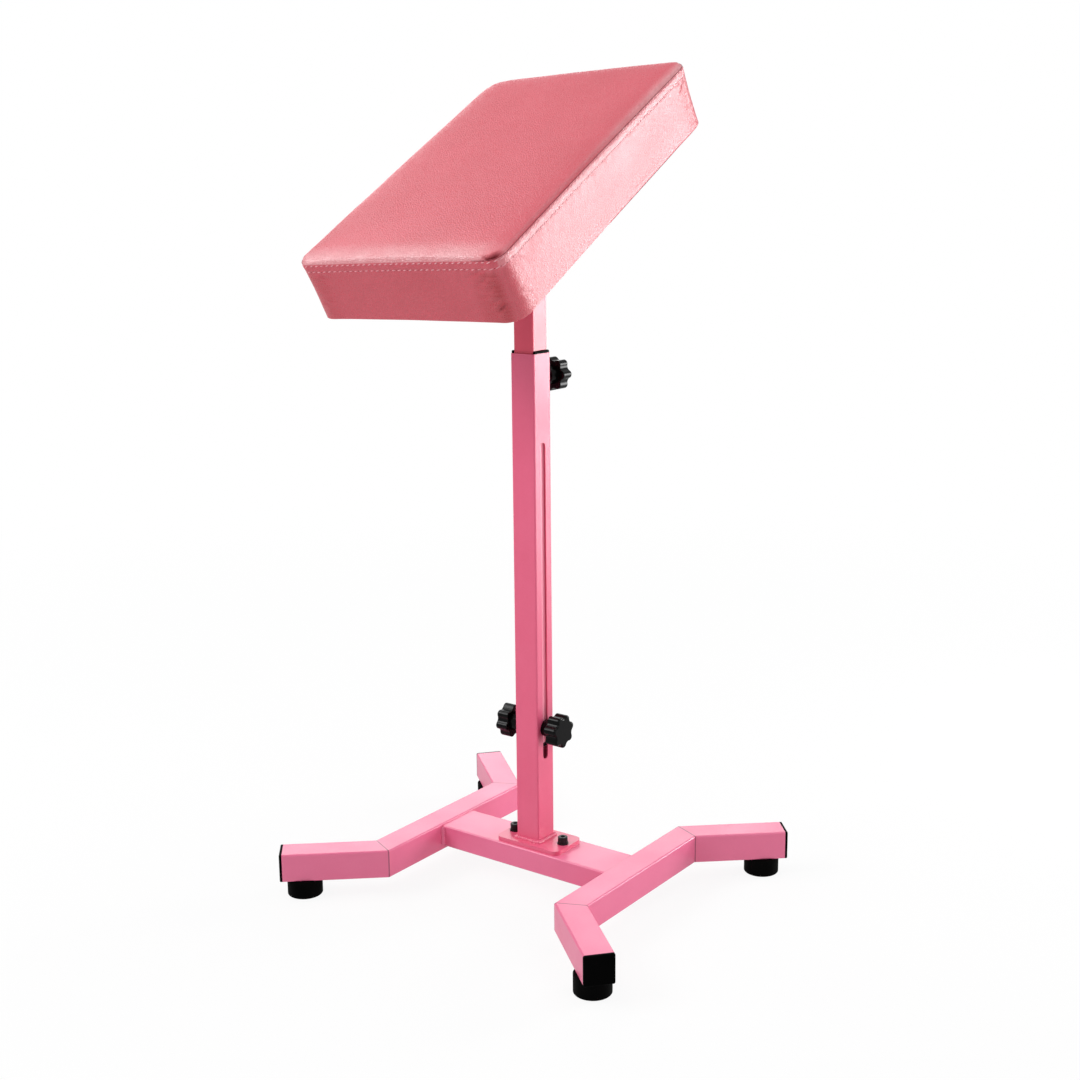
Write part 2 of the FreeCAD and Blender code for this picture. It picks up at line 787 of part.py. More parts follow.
def make_tilt_knob():
    knob = knob_body(insert_diameter + 2 * seat_clearance, insert_length)
    return tilted(point_along(knob, tilt_hub_place(), X_AXIS * -1))


def make_tilt_insert():
    bore = clamp_thread + 2 * running_clearance
    insert = ring(insert_diameter, bore, ORIGIN, Z_AXIS, insert_length)
    return tilted(point_along(insert, tilt_hub_place(), X_AXIS * -1))


def make_board():
    """Plywood board with recesses in its top for the tee nuts."""
    width = pad_width - 2 * board_margin
    length = pad_length - 2 * board_margin
    board = bar(width, length, board_corner, board_thickness, pivot_to_pad)
    barrel = tee_nut_barrel + 2 * seat_clearance
    board = cut_screw_holes(board, barrel, pivot_to_pad - cut_overrun, board_top + cut_overrun)
    recess_low = board_top - tee_nut_flange_thickness
    recess = tee_nut_flange + 2 * seat_clearance
    return tilted(cut_screw_holes(board, recess, recess_low, board_top + cut_overrun))


def make_tee_nuts():
    """Tee nuts let into the board's top, one for each bracket screw."""
    flange_low = board_top - tee_nut_flange_thickness
    barrel_length = board_thickness / 2
    nuts = []
    for place in bracket_hole_places(flange_low):
        flange = rod(tee_nut_flange, place, Z_AXIS, tee_nut_flange_thickness)
        barrel = rod(tee_nut_barrel, place - Z_AXIS * barrel_length, Z_AXIS, barrel_length)
        bore_start = place - Z_AXIS * (barrel_length + cut_overrun)
        bore = rod(board_screw_thread + 2 * seat_clearance, bore_start, Z_AXIS, board_thickness + cut_overrun)
        nuts.append(flange.fuse(barrel).cut(bore))
    return tilted(group(nuts))


def make_bracket_screws():
    screws = []
    for place in bracket_hole_places(bracket_low):
        head_low = place - Z_AXIS * board_screw_head_height
        head = rod(board_screw_head_diameter, head_low, Z_AXIS, board_screw_head_height)
        shank = rod(board_screw_thread, head_low, Z_AXIS, board_screw_head_height + board_screw_length)
        screws.append(head.fuse(shank))
    return tilted(group(screws))


def lining_outline(clearance, thickness, low):
    """Flat sheet with the lining's outline, drawn out by clearance."""
    width = pad_width - 2 * lining_margin + 2 * clearance
    length = pad_length - 2 * lining_margin + 2 * clearance
    return bar(width, length, board_corner + clearance, thickness, low)


def make_underside_lining():
    """Thin lining under the board, inside the leather's turned hem."""
    lining = lining_outline(0, lining_thickness, lining_low)
    diameter = board_screw_thread + 2 * bolt_hole_clearance
    return tilted(cut_screw_holes(lining, diameter, lining_low - cut_overrun, board_top))


def cushion_outline(inset, height, corner, bow):
    """Outline of the cushion at one height: four sides that bow inwards, joined by round corners."""
    half_x = pad_width / 2 - inset
    half_y = pad_length / 2 - inset
    flat_x = half_x - corner
    flat_y = half_y - corner
    diagonal = corner * math.sqrt(0.5)
    edges = []
    for sign_x, sign_y, turn in ((1, 1, 1), (-1, 1, -1), (-1, -1, 1), (1, -1, -1)):
        on_x_side = Vector(sign_x * half_x, sign_y * flat_y, height)
        on_y_side = Vector(sign_x * flat_x, sign_y * half_y, height)
        middle = Vector(sign_x * (flat_x + diagonal), sign_y * (flat_y + diagonal), height)
        start = on_x_side if turn > 0 else on_y_side
        end = on_y_side if turn > 0 else on_x_side
        edges.append(Part.Arc(start, middle, end).toShape())
        if turn > 0:
            side_middle = Vector(0, sign_y * (half_y - bow), height)
            side_end = Vector(-sign_x * flat_x, sign_y * half_y, height)
        else:
            side_middle = Vector(sign_x * (half_x - bow), 0, height)
            side_end = Vector(sign_x * half_x, -sign_y * flat_y, height)
        edges.append(Part.Arc(end, side_middle, side_end).toShape())
    return Part.Wire(edges)


def cushion_sides(low, drawn_in):
    """Walls of the cushion: a turned lower edge, then sides that draw in and swell out to the seam."""
    corner = pad_corner - drawn_in
    first = cushion_outline(drawn_in + pad_edge_round, low, corner, pad_side_bow)
    second = cushion_outline(drawn_in, edge_top, corner, pad_side_bow)
    edge_band = Part.makeLoft([first, second], True, True)
    rise = pivot_to_pad + pad_thickness - drawn_in - edge_top
    sections = []
    for rise_share, waist_share in zip(side_rise_shares, side_waist_shares):
        inset = drawn_in + pad_waist * waist_share
        corner = pad_corner + (seam_corner - pad_corner) * rise_share - drawn_in
        sections.append(cushion_outline(inset, edge_top + rise * rise_share, corner, pad_side_bow))
    return edge_band.fuse(Part.makeLoft(sections, True, False))


def cushion_crown(drawn_in):
    """Crowned top panel: it rises steeply from the seam and flattens towards its middle."""
    seam_height = pivot_to_pad + pad_thickness - drawn_in
    seam_inset = pad_waist * side_waist_shares[-1] + drawn_in
    sections = []
    for step in range(crown_steps + 1):
        share = step / crown_steps
        rise = pad_crown * (1 - (1 - share) ** 3)
        inset = seam_inset + share * crown_width
        corner = seam_corner + share * (pad_corner - seam_corner) - drawn_in
        bow = pad_side_bow * (1 - share / 2)
        sections.append(cushion_outline(inset, seam_height + rise, corner, bow))
    return Part.makeLoft(sections, True, False)


def cushion_form(low, drawn_in):
    """Whole form of the cushion from the height low up, drawn in on its sides and top."""
    return cushion_sides(low, drawn_in).fuse(cushion_crown(drawn_in))


def make_pad_cover():
    """Leather cover with its seams sewn: hollow, and turned under the board as a hem."""
    hollow = cushion_form(pivot_to_pad, leather_thickness)
    opening_low = lining_low - cut_overrun
    opening = lining_outline(lining_clearance, cut_overrun + board_thickness, opening_low)
    return tilted(cushion_form(lining_low, 0).cut(hollow).cut(opening))


def make_pad_foam():
    """Foam block that stands on the board and fills the cover."""
    foam = cushion_form(pivot_to_pad, leather_thickness + foam_clearance)
    depth = board_thickness + cut_overrun
    below = bar(2 * pad_width, 2 * pad_length, pad_corner, depth, board_top - depth)
    return tilted(foam.cut(below))


# All the sub-parts


side_names = {-1: "left", 1: "right"}
end_names = {-1: "front", 1: "rear"}


def base_parts():
    parts = {"crossbar": make_crossbar()}
    for side in (-1, 1):
        parts[f"{side_names[side]}_side_tube"] = make_side_tube(side)
        for end in (-1, 1):
            corner_name = f"{end_names[end]}_{side_names[side]}"
            parts[f"{corner_name}_leg"] = make_leg(side, end)
            parts[f"{corner_name}_leg_cap"] = make_leg_cap(side, end)
            parts[f"{corner_name}_foot"] = make_foot(side, end)
    parts["frame_welds"] = group(each_leg(make_frame_weld))
    parts["foot_screws"] = group(each_leg(foot_screw))
    parts["foot_washers"] = group(each_leg(foot_washer))
    parts["foot_nuts"] = group(each_leg(foot_nut))
    return parts


def column_parts():
    parts = {
        "column_plate": make_column_plate(),
        "base_bolts": group([make_base_bolt(place) for place in base_bolt_places()]),
        "base_washers": group([make_base_washer(place) for place in base_bolt_places()]),
        "base_nuts": group([make_base_nut(place) for place in base_bolt_places()]),
        "outer_tube": make_outer_tube(),
        "column_weld": make_column_weld(),
        "rear_clamp_nut": make_rear_nut(),
    }
    for side in (-1, 1):
        parts[f"{side_names[side]}_guide_shim"] = make_guide_shim(side)
    return parts


def mast_parts():
    return {
        "inner_tube": make_inner_tube(),
        "mast_bottom_plug": make_bottom_plug(),
        "mast_top_cap": make_top_cap(),
        "pivot_bushing": make_pivot_bushing(),
        "lower_clamp_nuts": group([lower_nut(side) for side in (-1, 1)]),
        "lower_knob_washers": group([lower_washer(side) for side in (-1, 1)]),
    }


def knob_parts():
    knob = clamp_knob()
    parts = {
        "rear_knob": point_along(knob, rear_hub_place(), Y_AXIS),
        "rear_knob_stud": make_rear_stud(),
    }
    for side in (-1, 1):
        parts[f"{side_names[side]}_knob"] = point_along(knob, lower_hub_place(side), X_AXIS * side)
        parts[f"{side_names[side]}_knob_stud"] = make_lower_stud(side)
    return parts


def rest_parts():
    parts = {
        "bracket_plate": make_bracket_plate(),
        "pivot_bolt": make_pivot_bolt(),
        "friction_washers": make_friction_washers(),
        "tilt_knob_washer": make_tilt_washer(),
        "tilt_knob": make_tilt_knob(),
        "tilt_knob_insert": make_tilt_insert(),
        "pad_board": make_board(),
        "board_tee_nuts": make_tee_nuts(),
        "bracket_screws": make_bracket_screws(),
        "underside_lining": make_underside_lining(),
        "pad_foam": make_pad_foam(),
        "pad_cover": make_pad_cover(),
    }
    for side in (-1, 1):
        parts[f"{side_names[side]}_bracket_ear"] = make_bracket_ear(side)
    return parts


def main():
    os.makedirs("parts", exist_ok=True)
    for build in (base_parts, column_parts, mast_parts, knob_parts, rest_parts):
        for name, shape in build().items():
            shape.exportStep(f"parts/{name}.step")
            solids = shape.Solids
            volume = sum(solid.Volume for solid in solids)
            print(f"{name}: {len(solids)} solid, valid {shape.isValid()}, {volume:.0f} mm3")


main()
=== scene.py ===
import json
import math
import random

import bmesh
import bpy
from mathutils import Matrix, Vector, noise
from mathutils.bvhtree import BVHTree

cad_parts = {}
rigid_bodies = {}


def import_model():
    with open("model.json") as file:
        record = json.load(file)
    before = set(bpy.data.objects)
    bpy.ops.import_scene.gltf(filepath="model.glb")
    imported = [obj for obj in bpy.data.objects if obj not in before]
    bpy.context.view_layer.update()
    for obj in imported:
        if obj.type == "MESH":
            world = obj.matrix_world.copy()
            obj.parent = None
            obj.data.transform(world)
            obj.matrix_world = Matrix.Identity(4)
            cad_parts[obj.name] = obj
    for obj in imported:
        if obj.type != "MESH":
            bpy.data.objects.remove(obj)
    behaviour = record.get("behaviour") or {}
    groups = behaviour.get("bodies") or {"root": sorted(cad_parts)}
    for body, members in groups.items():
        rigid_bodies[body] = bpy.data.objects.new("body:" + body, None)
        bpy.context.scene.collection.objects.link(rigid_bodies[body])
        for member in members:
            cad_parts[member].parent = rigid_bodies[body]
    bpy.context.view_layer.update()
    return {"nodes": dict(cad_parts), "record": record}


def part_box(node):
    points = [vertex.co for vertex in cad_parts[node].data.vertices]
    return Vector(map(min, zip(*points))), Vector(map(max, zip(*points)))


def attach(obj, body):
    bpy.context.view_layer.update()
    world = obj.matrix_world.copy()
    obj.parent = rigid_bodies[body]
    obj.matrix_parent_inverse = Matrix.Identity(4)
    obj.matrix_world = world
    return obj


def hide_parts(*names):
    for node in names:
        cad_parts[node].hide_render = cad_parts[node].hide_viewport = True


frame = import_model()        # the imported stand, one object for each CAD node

# All lengths are in metres.
print("stand loaded, nodes:", len(frame["nodes"]))


def clearPicks():
    for other in bpy.context.selected_objects:
        other.select_set(False)
    bpy.context.view_layer.objects.active = None


def pickOnly(obj):
    clearPicks()
    obj.select_set(True)
    bpy.context.view_layer.objects.active = obj


def editMesh(obj):
    pickOnly(obj)
    bpy.ops.object.mode_set(mode="EDIT")
    return bmesh.from_edit_mesh(obj.data)


def leaveEdit():
    bpy.ops.object.mode_set(mode="OBJECT")


# Edit mode stays on: only the elements that pass the test are picked.
def pickElements(obj, kind, test):
    bpy.ops.mesh.select_mode(type=kind)
    bpy.ops.mesh.select_all(action="DESELECT")
    mesh = bmesh.from_edit_mesh(obj.data)
    for element in {"VERT": mesh.verts, "EDGE": mesh.edges}[kind]:
        if test(element):
            element.select = True
    mesh.select_flush_mode()
    bmesh.update_edit_mesh(obj.data)


def addModifier(obj, kind, **values):
    modifier = obj.modifiers.new(kind.title(), kind)
    for key, value in values.items():
        setattr(modifier, key, value)


def applyModifiers(obj):
    pickOnly(obj)
    for modifier in list(obj.modifiers):
        bpy.ops.object.modifier_apply(modifier=modifier.name)


def joinAll(pieces, name):
    clearPicks()
    for piece in pieces:
        piece.select_set(True)
    bpy.context.view_layer.objects.active = pieces[0]
    bpy.ops.object.join()
    joined = bpy.context.view_layer.objects.active
    joined.name = joined.data.name = name
    return joined


def copyOf(piece, matrix):
    twin = piece.copy()
    twin.data = piece.data.copy()
    twin.data.transform(matrix)
    bpy.context.scene.collection.objects.link(twin)
    return twin


# Matrix whose X runs along and whose Z is as near upward as it can be.
def frameFrom(place, along, upward):
    xAxis = along.normalized()
    zAxis = (upward - xAxis * upward.dot(xAxis)).normalized()
    turn = Matrix((xAxis, zAxis.cross(xAxis), zAxis)).transposed().to_4x4()
    turn.translation = place
    return turn


def smoothStep(value, low, high):
    share = min(max((value - low) / (high - low), 0.0), 1.0)
    return share * share * (3 - 2 * share)


def hill(value, width):
    return math.exp(-(value / width) ** 2)


def within(chance, limit):
    return chance.uniform(-limit, limit)


# Sets a node's inputs: a constant goes on the socket itself, another node's output is linked to it.
def feed(tree, node, inputs):
    for label, value in inputs.items():
        if isinstance(value, bpy.types.NodeSocket):
            tree.links.new(value, node.inputs[label])
        else:
            node.inputs[label].default_value = value


def addNode(tree, kind, inputs=None, **settings):
    node = tree.nodes.new("ShaderNode" + kind)
    for key, value in settings.items():
        setattr(node, key, value)
    feed(tree, node, inputs or {})
    return node


def mathNode(tree, operation, first, second=0.5, clamp=False):
    return addNode(tree, "Math", {0: first, 1: second}, operation=operation, use_clamp=clamp).outputs[0]


def times(tree, first, second):
    return mathNode(tree, "MULTIPLY", first, second)


def plus(tree, first, second):
    return mathNode(tree, "ADD", first, second)


def noiseOf(tree, coords, scale, detail=2.0, output="Fac"):
    return addNode(tree, "TexNoise", {"Vector": coords, "Scale": scale, "Detail": detail}).outputs[output]


# The value goes from low to high as it runs from start to end, and stays between them.
def rangeOf(tree, value, low, high, start=0.0, end=1.0, way="LINEAR"):
    limits = {"From Min": start, "From Max": end, "To Min": low, "To Max": high}
    return addNode(tree, "MapRange", {"Value": value, **limits}, interpolation_type=way).outputs["Result"]


# Colour that goes from under to over as the share rises from 0 to 1.
def blend(tree, share, under, over):
    return addNode(tree, "Mix", {"Factor": share, "A": under, "B": over}, data_type="RGBA").outputs["Result"]


def colourRamp(tree, share, first, last):
    ramp = addNode(tree, "ValToRGB", {"Fac": share})
    stops = ramp.color_ramp.elements
    stops[0].position, stops[0].color = first
    stops[1].position, stops[1].color = last
    return ramp.outputs["Color"]


def bumpFrom(tree, height, strength, depth, normal=None):
    bump = addNode(tree, "Bump", {"Height": height, "Strength": strength, "Distance": depth})
    if normal is not None:
        tree.links.new(normal, bump.inputs["Normal"])
    return bump.outputs["Normal"]


def newMaterial(name):
    material = bpy.data.materials.new(name)
    material.use_nodes = True
    tree = material.node_tree
    tree.nodes.clear()
    shader = addNode(tree, "BsdfPrincipled")
    addNode(tree, "OutputMaterial", {"Surface": shader.outputs[0]})
    return material, tree, shader, addNode(tree, "TexCoord").outputs["Object"]


cameraView = {
    "place": (0.9939, -1.3411, 0.7733),
    "lens": 52.95,
    "sensor": 36.0,
    "yaw": 126.262,
    "downward": 12.743,
    "roll": -0.562,
    "clip": (0.05, 60.0),
}


def addCamera():
    yaw, downward, roll = (math.radians(cameraView[key]) for key in ("yaw", "downward", "roll"))
    level = math.cos(downward)
    forward = Vector((level * math.cos(yaw), level * math.sin(yaw), -math.sin(downward)))
    side = forward.cross(Vector((0, 0, 1))).normalized()
    upright = side.cross(forward)
    right = side * math.cos(roll) + upright * math.sin(roll)
    top = upright * math.cos(roll) - side * math.sin(roll)
    bpy.ops.object.camera_add()
    camera = bpy.context.object
    camera.name = "photoCamera"
    turn = Matrix((right, top, -forward)).transposed().to_4x4()
    turn.translation = Vector(cameraView["place"])
    camera.matrix_world = turn
    camera.data.lens = cameraView["lens"]
    camera.data.sensor_width = cameraView["sensor"]
    camera.data.clip_start, camera.data.clip_end = cameraView["clip"]
    bpy.context.scene.camera = camera


softLights = {
    # each lamp points at a height on the stand's own axis
    "keyBehindRight": {"place": (1.52, 2.58, 0.76), "aimHeight": 0.64, "size": (1.05, 1.20), "watts": 41.0},
    "overhead": {"place": (0.25, 0.1, 2.7), "aimHeight": 0.3, "size": (1.6, 1.6), "watts": 8.0},
    "highRight": {"place": (1.00, 0.95, 2.80), "aimHeight": 0.7, "size": (1.4, 1.2), "watts": 9.0},
    "rearLeft": {"place": (-1.9, 2.4, 1.3), "aimHeight": 0.2, "size": (2.0, 1.2), "watts": 14.0},
    "left": {"place": (-1.60, -0.15, 2.50), "aimHeight": 0.75, "size": (1.3, 1.1), "watts": 12.5},
    "frontLeft": {"place": (-1.75, -1.70, 2.05), "aimHeight": 0.6, "size": (1.6, 1.1), "watts": 46.0},
    "columnSheen": {"place": (0.76, 1.00, 0.37), "aimHeight": 0.37, "size": (0.36, 0.72), "watts": 2.6},
    "rightFill": {"place": (2.30, -0.70, 1.30), "aimHeight": 0.6, "size": (0.7, 0.9), "watts": 12.0},
}


def addLights():
    for name, item in softLights.items():
        bpy.ops.object.light_add(type="AREA", location=item["place"])
        lamp = bpy.context.object
        lamp.name = name
        lamp.visible_camera = False
        lamp.data.shape = "RECTANGLE"
        lamp.data.size, lamp.data.size_y = item["size"]
        lamp.data.energy = item["watts"]
        towards = Vector((0, 0, item["aimHeight"])) - Vector(item["place"])
        lamp.rotation_euler = towards.to_track_quat("-Z", "Y").to_euler()


worldLevel = {"tone": (1, 1, 1, 1), "ambient": 0.28, "seen": 1.0, "mirrored": 0.6}


# Full white for the camera, and less in reflections.
def seenStrength(tree, path):
    less = worldLevel["seen"] - worldLevel["mirrored"]
    return plus(tree, times(tree, path.outputs["Is Camera Ray"], less), worldLevel["mirrored"])


# 1 on rays that show the room: those of the camera, of reflections and through glass.
def roomRays(tree, path):
    eye = mathNode(tree, "MAXIMUM", path.outputs["Is Camera Ray"], path.outputs["Is Glossy Ray"])
    return mathNode(tree, "MAXIMUM", eye, path.outputs["Is Transmission Ray"])


def addWorld():
    world = bpy.data.worlds.new("paleRoom")
    bpy.context.scene.world = world
    world.use_nodes = True
    tree = world.node_tree
    tree.nodes.clear()
    path = addNode(tree, "LightPath")
    ambient = addNode(tree, "Background", {"Color": worldLevel["tone"], "Strength": worldLevel["ambient"]})
    seen = addNode(tree, "Background", {"Color": worldLevel["tone"], "Strength": seenStrength(tree, path)})
    room = {"Fac": roomRays(tree, path), 1: ambient.outputs[0], 2: seen.outputs[0]}
    addNode(tree, "OutputWorld", {"Surface": addNode(tree, "MixShader", room).outputs[0]})


floorLook = {
    "size": 24.0,
    "grainScale": 3.0,
    "tones": ((0.86, 0.86, 0.865, 1), (0.9, 0.9, 0.9, 1)),
    "roughness": 0.9,
    "gloss": 0.1,
    "nearShare": 0.90,
    "fadeStart": 0.75,
    "fadeEnd": 2.2,
}


# The camera and reflections see a floor that is mostly a white glow, and all glow away from the stand.
def addFloor():
    clearPicks()
    bpy.ops.mesh.primitive_plane_add(size=floorLook["size"])
    floor = bpy.context.object
    floor.name = "paleFloor"
    material, tree, shader, coords = newMaterial("floorPaint")
    low, high = floorLook["tones"]
    grain = noiseOf(tree, coords, floorLook["grainScale"])
    feed(tree, shader, {
        "Base Color": colourRamp(tree, grain, (0.0, low), (1.0, high)),
        "Roughness": floorLook["roughness"],
        "Specular IOR Level": floorLook["gloss"],
    })
    distance = addNode(tree, "VectorMath", {0: coords}, operation="LENGTH").outputs["Value"]
    start, end = floorLook["fadeStart"], floorLook["fadeEnd"]
    fade = rangeOf(tree, distance, floorLook["nearShare"], 1.0, start, end, "SMOOTHSTEP")
    path = addNode(tree, "LightPath")
    glow = addNode(tree, "Emission", {"Color": worldLevel["tone"], "Strength": seenStrength(tree, path)})
    share = times(tree, fade, roomRays(tree, path))
    shown = addNode(tree, "MixShader", {"Fac": share, 1: shader.outputs[0], 2: glow.outputs[0]})
    tree.links.new(shown.outputs[0], tree.nodes["Material Output"].inputs["Surface"])
    floor.data.materials.append(material)
    print("camera, lamps and floor placed")


# A group takes a Vector and the named inputs, and puts out the named colours and values.
def newGroup(name, inputs, outputs):
    group = bpy.data.node_groups.new(name, "ShaderNodeTree")
    group.interface.new_socket("Vector", in_out="INPUT", socket_type="NodeSocketVector")
    for label, value in inputs.items():
        kind = "NodeSocketColor" if isinstance(value, tuple) else "NodeSocketFloat"
        group.interface.new_socket(label, in_out="INPUT", socket_type=kind).default_value = value
    for label in outputs:
        kind = "NodeSocketColor" if label == "Color" else "NodeSocketFloat"
        group.interface.new_socket(label, in_out="OUTPUT", socket_type=kind)
    return group, group.nodes.new("NodeGroupInput").outputs, group.nodes.new("NodeGroupOutput")


effectShapes = {
    "toneSpread": (0.32, 0.68),
    "warpScale": 260.0,
    "warp": 0.0016,
    "pebbleEdge": 0.32,
    "rubTurn": (0.5, 0.3, 0.9),
    "rubStretch": (1.0, 9.0, 3.0),
    "rubContrast": 9.0,
}


# Two tones of one colour in soft patches, with a finer speckle over them.
def buildToneGroup():
    inputs = {"Patch Scale": 12.0, "Speckle Scale": 900.0, "Speckle": 0.3,
              "Light Tone": (1, 1, 1, 1), "Deep Tone": (0, 0, 0, 1)}
    group, given, target = newGroup("softTone", inputs, ("Color", "Mask"))
    patches = noiseOf(group, given["Vector"], given["Patch Scale"], 3.0)
    speckle = noiseOf(group, given["Vector"], given["Speckle Scale"], 1.0)
    centred = mathNode(group, "SUBTRACT", speckle, 0.5)
    total = plus(group, patches, times(group, centred, given["Speckle"]))
    mask = rangeOf(group, total, 0.0, 1.0, *effectShapes["toneSpread"])
    colour = blend(group, mask, given["Light Tone"], given["Deep Tone"])
    feed(group, target, {"Color": colour, "Mask": mask})
    return group


# Leather grain: rounded pebbles with fine valleys, and pores on them.
def buildPebbleGroup():
    inputs = {"Pebble Scale": 560.0, "Pore Scale": 2200.0, "Pores": 0.2}
    group, given, target = newGroup("pebbleGrain", inputs, ("Height", "Valley"))
    warp = noiseOf(group, given["Vector"], effectShapes["warpScale"], output="Color")
    centred = addNode(group, "VectorMath", {0: warp, 1: (0.5, 0.5, 0.5)}, operation="SUBTRACT").outputs[0]
    bending = {0: centred, 1: [effectShapes["warp"]] * 3, 2: given["Vector"]}
    bent = addNode(group, "VectorMath", bending, operation="MULTIPLY_ADD").outputs[0]
    cells = addNode(group, "TexVoronoi", {"Vector": bent, "Scale": given["Pebble Scale"]},
                    feature="DISTANCE_TO_EDGE")
    distance, edge = cells.outputs["Distance"], effectShapes["pebbleEdge"]
    rounded = rangeOf(group, distance, 0.0, 1.0, 0.0, edge, "SMOOTHERSTEP")
    pores = noiseOf(group, given["Vector"], given["Pore Scale"])
    height = plus(group, rounded, times(group, pores, given["Pores"]))
    feed(group, target, {"Height": height, "Valley": mathNode(group, "SUBTRACT", 1.0, rounded)})
    return group


# Slight ripple of sprayed or moulded surfaces, with a fine texture on it.
def buildPeelGroup():
    inputs = {"Ripple Scale": 260.0, "Fine Scale": 1800.0, "Fine Share": 0.25}
    group, given, target = newGroup("peelRipple", inputs, ("Height",))
    ripple = noiseOf(group, given["Vector"], given["Ripple Scale"], 1.5)
    fine = noiseOf(group, given["Vector"], given["Fine Scale"], 1.0)
    feed(group, target, {"Height": plus(group, ripple, times(group, fine, given["Fine Share"]))})
    return group


# Sparse fine rub marks, 0 on clean surface and 1 in a mark.
def buildRubGroup():
    group, given, target = newGroup("rubMarks", {"Scale": 60.0, "Sparseness": 0.72}, ("Mask",))
    drawnOut = {"Rotation": effectShapes["rubTurn"], "Scale": effectShapes["rubStretch"]}
    drawnOut["Vector"] = given["Vector"]
    marks = noiseOf(group, addNode(group, "Mapping", drawnOut).outputs["Vector"], given["Scale"], 3.0)
    over = mathNode(group, "SUBTRACT", marks, given["Sparseness"])
    mask = mathNode(group, "MULTIPLY", over, effectShapes["rubContrast"], clamp=True)
    feed(group, target, {"Mask": mask})
    return group


effects = {
    "tone": buildToneGroup(),
    "pebble": buildPebbleGroup(),
    "peel": buildPeelGroup(),
    "rub": buildRubGroup(),
}


def placeEffect(tree, effect, inputs):
    return addNode(tree, "Group", inputs, node_tree=effects[effect]).outputs


# A look names its patch scale, its speckle's scale and strength, and its two tones.
def toneOf(tree, coords, look):
    return placeEffect(tree, "tone", {
        "Vector": coords, "Patch Scale": look["patch"], "Speckle Scale": look["speckle"],
        "Speckle": look["speckling"], "Light Tone": look["light"], "Deep Tone": look["deep"],
    })


powderCoat = {
    "patch": 16.0,
    "speckle": 700.0,
    "speckling": 0.35,
    "ripple": {"Ripple Scale": 330.0, "Fine Scale": 1900.0, "Fine Share": 0.2},
    "rub": {"Scale": 26.0, "Sparseness": 0.70},
    "roughness": (0.30, 0.42),
    "rubbed": 0.12,
    "specular": 0.5,
    "coat": 0.42,
    "coatRoughness": 0.24,
    "strength": 0.35,
    "depth": 0.00012,
}
paints = {
    "frame": {"light": (0.880, 0.180, 0.335, 1), "deep": (0.850, 0.162, 0.312, 1)},
    "column": {"light": (0.860, 0.125, 0.245, 1), "deep": (0.830, 0.110, 0.224, 1)},
    "mast": {"light": (0.880, 0.075, 0.150, 1), "deep": (0.850, 0.066, 0.134, 1)},
}


def powderCoatMaterial(name, tones, addedMask=None, added=None):
    material, tree, shader, coords = newMaterial(name)
    tone = toneOf(tree, coords, {**powderCoat, **tones})
    peel = placeEffect(tree, "peel", {"Vector": coords, **powderCoat["ripple"]})
    rub = placeEffect(tree, "rub", {"Vector": coords, **powderCoat["rub"]})
    colour = tone["Color"]
    if addedMask:
        colour = blend(tree, addedMask(tree, coords), colour, added["tone"])
    base = rangeOf(tree, tone["Mask"], *powderCoat["roughness"])
    feed(tree, shader, {
        "Base Color": colour,
        "Roughness": plus(tree, base, times(tree, rub["Mask"], powderCoat["rubbed"])),
        "Specular IOR Level": powderCoat["specular"],
        "Coat Weight": powderCoat["coat"],
        "Coat Roughness": powderCoat["coatRoughness"],
        "Normal": bumpFrom(tree, peel["Height"], powderCoat["strength"], powderCoat["depth"]),
    })
    return material


# Painted light on the mast behind the column's slot.
slotPaintedLight = {
    "halfWidth": 0.0046,
    "edge": 0.0012,
    "top": 0.5065,
    "fade": 0.030,
    "tone": (0.980, 0.290, 0.410, 1),
}


# 1 on a strip of the mast: painted light, a paler colour so that the inner tube in the column's slot looks
#                           lit, as light as it does in the photograph.
def slotPaintedLightMask(tree, coords):
    split = addNode(tree, "SeparateXYZ", {0: coords}).outputs
    width, top = slotPaintedLight["halfWidth"], slotPaintedLight["top"]
    offset = mathNode(tree, "ABSOLUTE", split["Y"])
    inWidth = rangeOf(tree, offset, 1.0, 0.0, width, width + slotPaintedLight["edge"])
    return times(tree, inWidth, rangeOf(tree, split["Z"], 1.0, 0.0, top, top + slotPaintedLight["fade"]))


mitreJoint = {
    # one joint's place and the direction across it; the other three are its mirror images
    "x": 0.1285,
    "y": 0.114,
    "across": 0.4147,
    "along": 0.90996,
    "halfWidth": 0.00045,
    "softWidth": 0.00099,
    "share": 0.85,
    "tone": (0.30, 0.055, 0.105, 1),
}


# The thin line where the mitred tube ends are welded and ground flush.
def mitreMask(tree, coords):
    split = addNode(tree, "SeparateXYZ", {0: coords}).outputs
    parts = []
    for axis, middle, slope in (("X", "x", "across"), ("Y", "y", "along")):
        mirrored = mathNode(tree, "ABSOLUTE", split[axis])
        parts.append(times(tree, mathNode(tree, "SUBTRACT", mirrored, mitreJoint[middle]), mitreJoint[slope]))
    distance = mathNode(tree, "ABSOLUTE", plus(tree, parts[0], parts[1]))
    return rangeOf(tree, distance, mitreJoint["share"], 0.0, mitreJoint["halfWidth"], mitreJoint["softWidth"])


# Coordinates that lie level with the tilted pad.
def padCoords(tree, coords):
    tilt = (-math.radians(padPlace["tilt"]), 0, 0)
    return addNode(tree, "Mapping", {"Vector": coords, "Rotation": tilt}).outputs["Vector"]


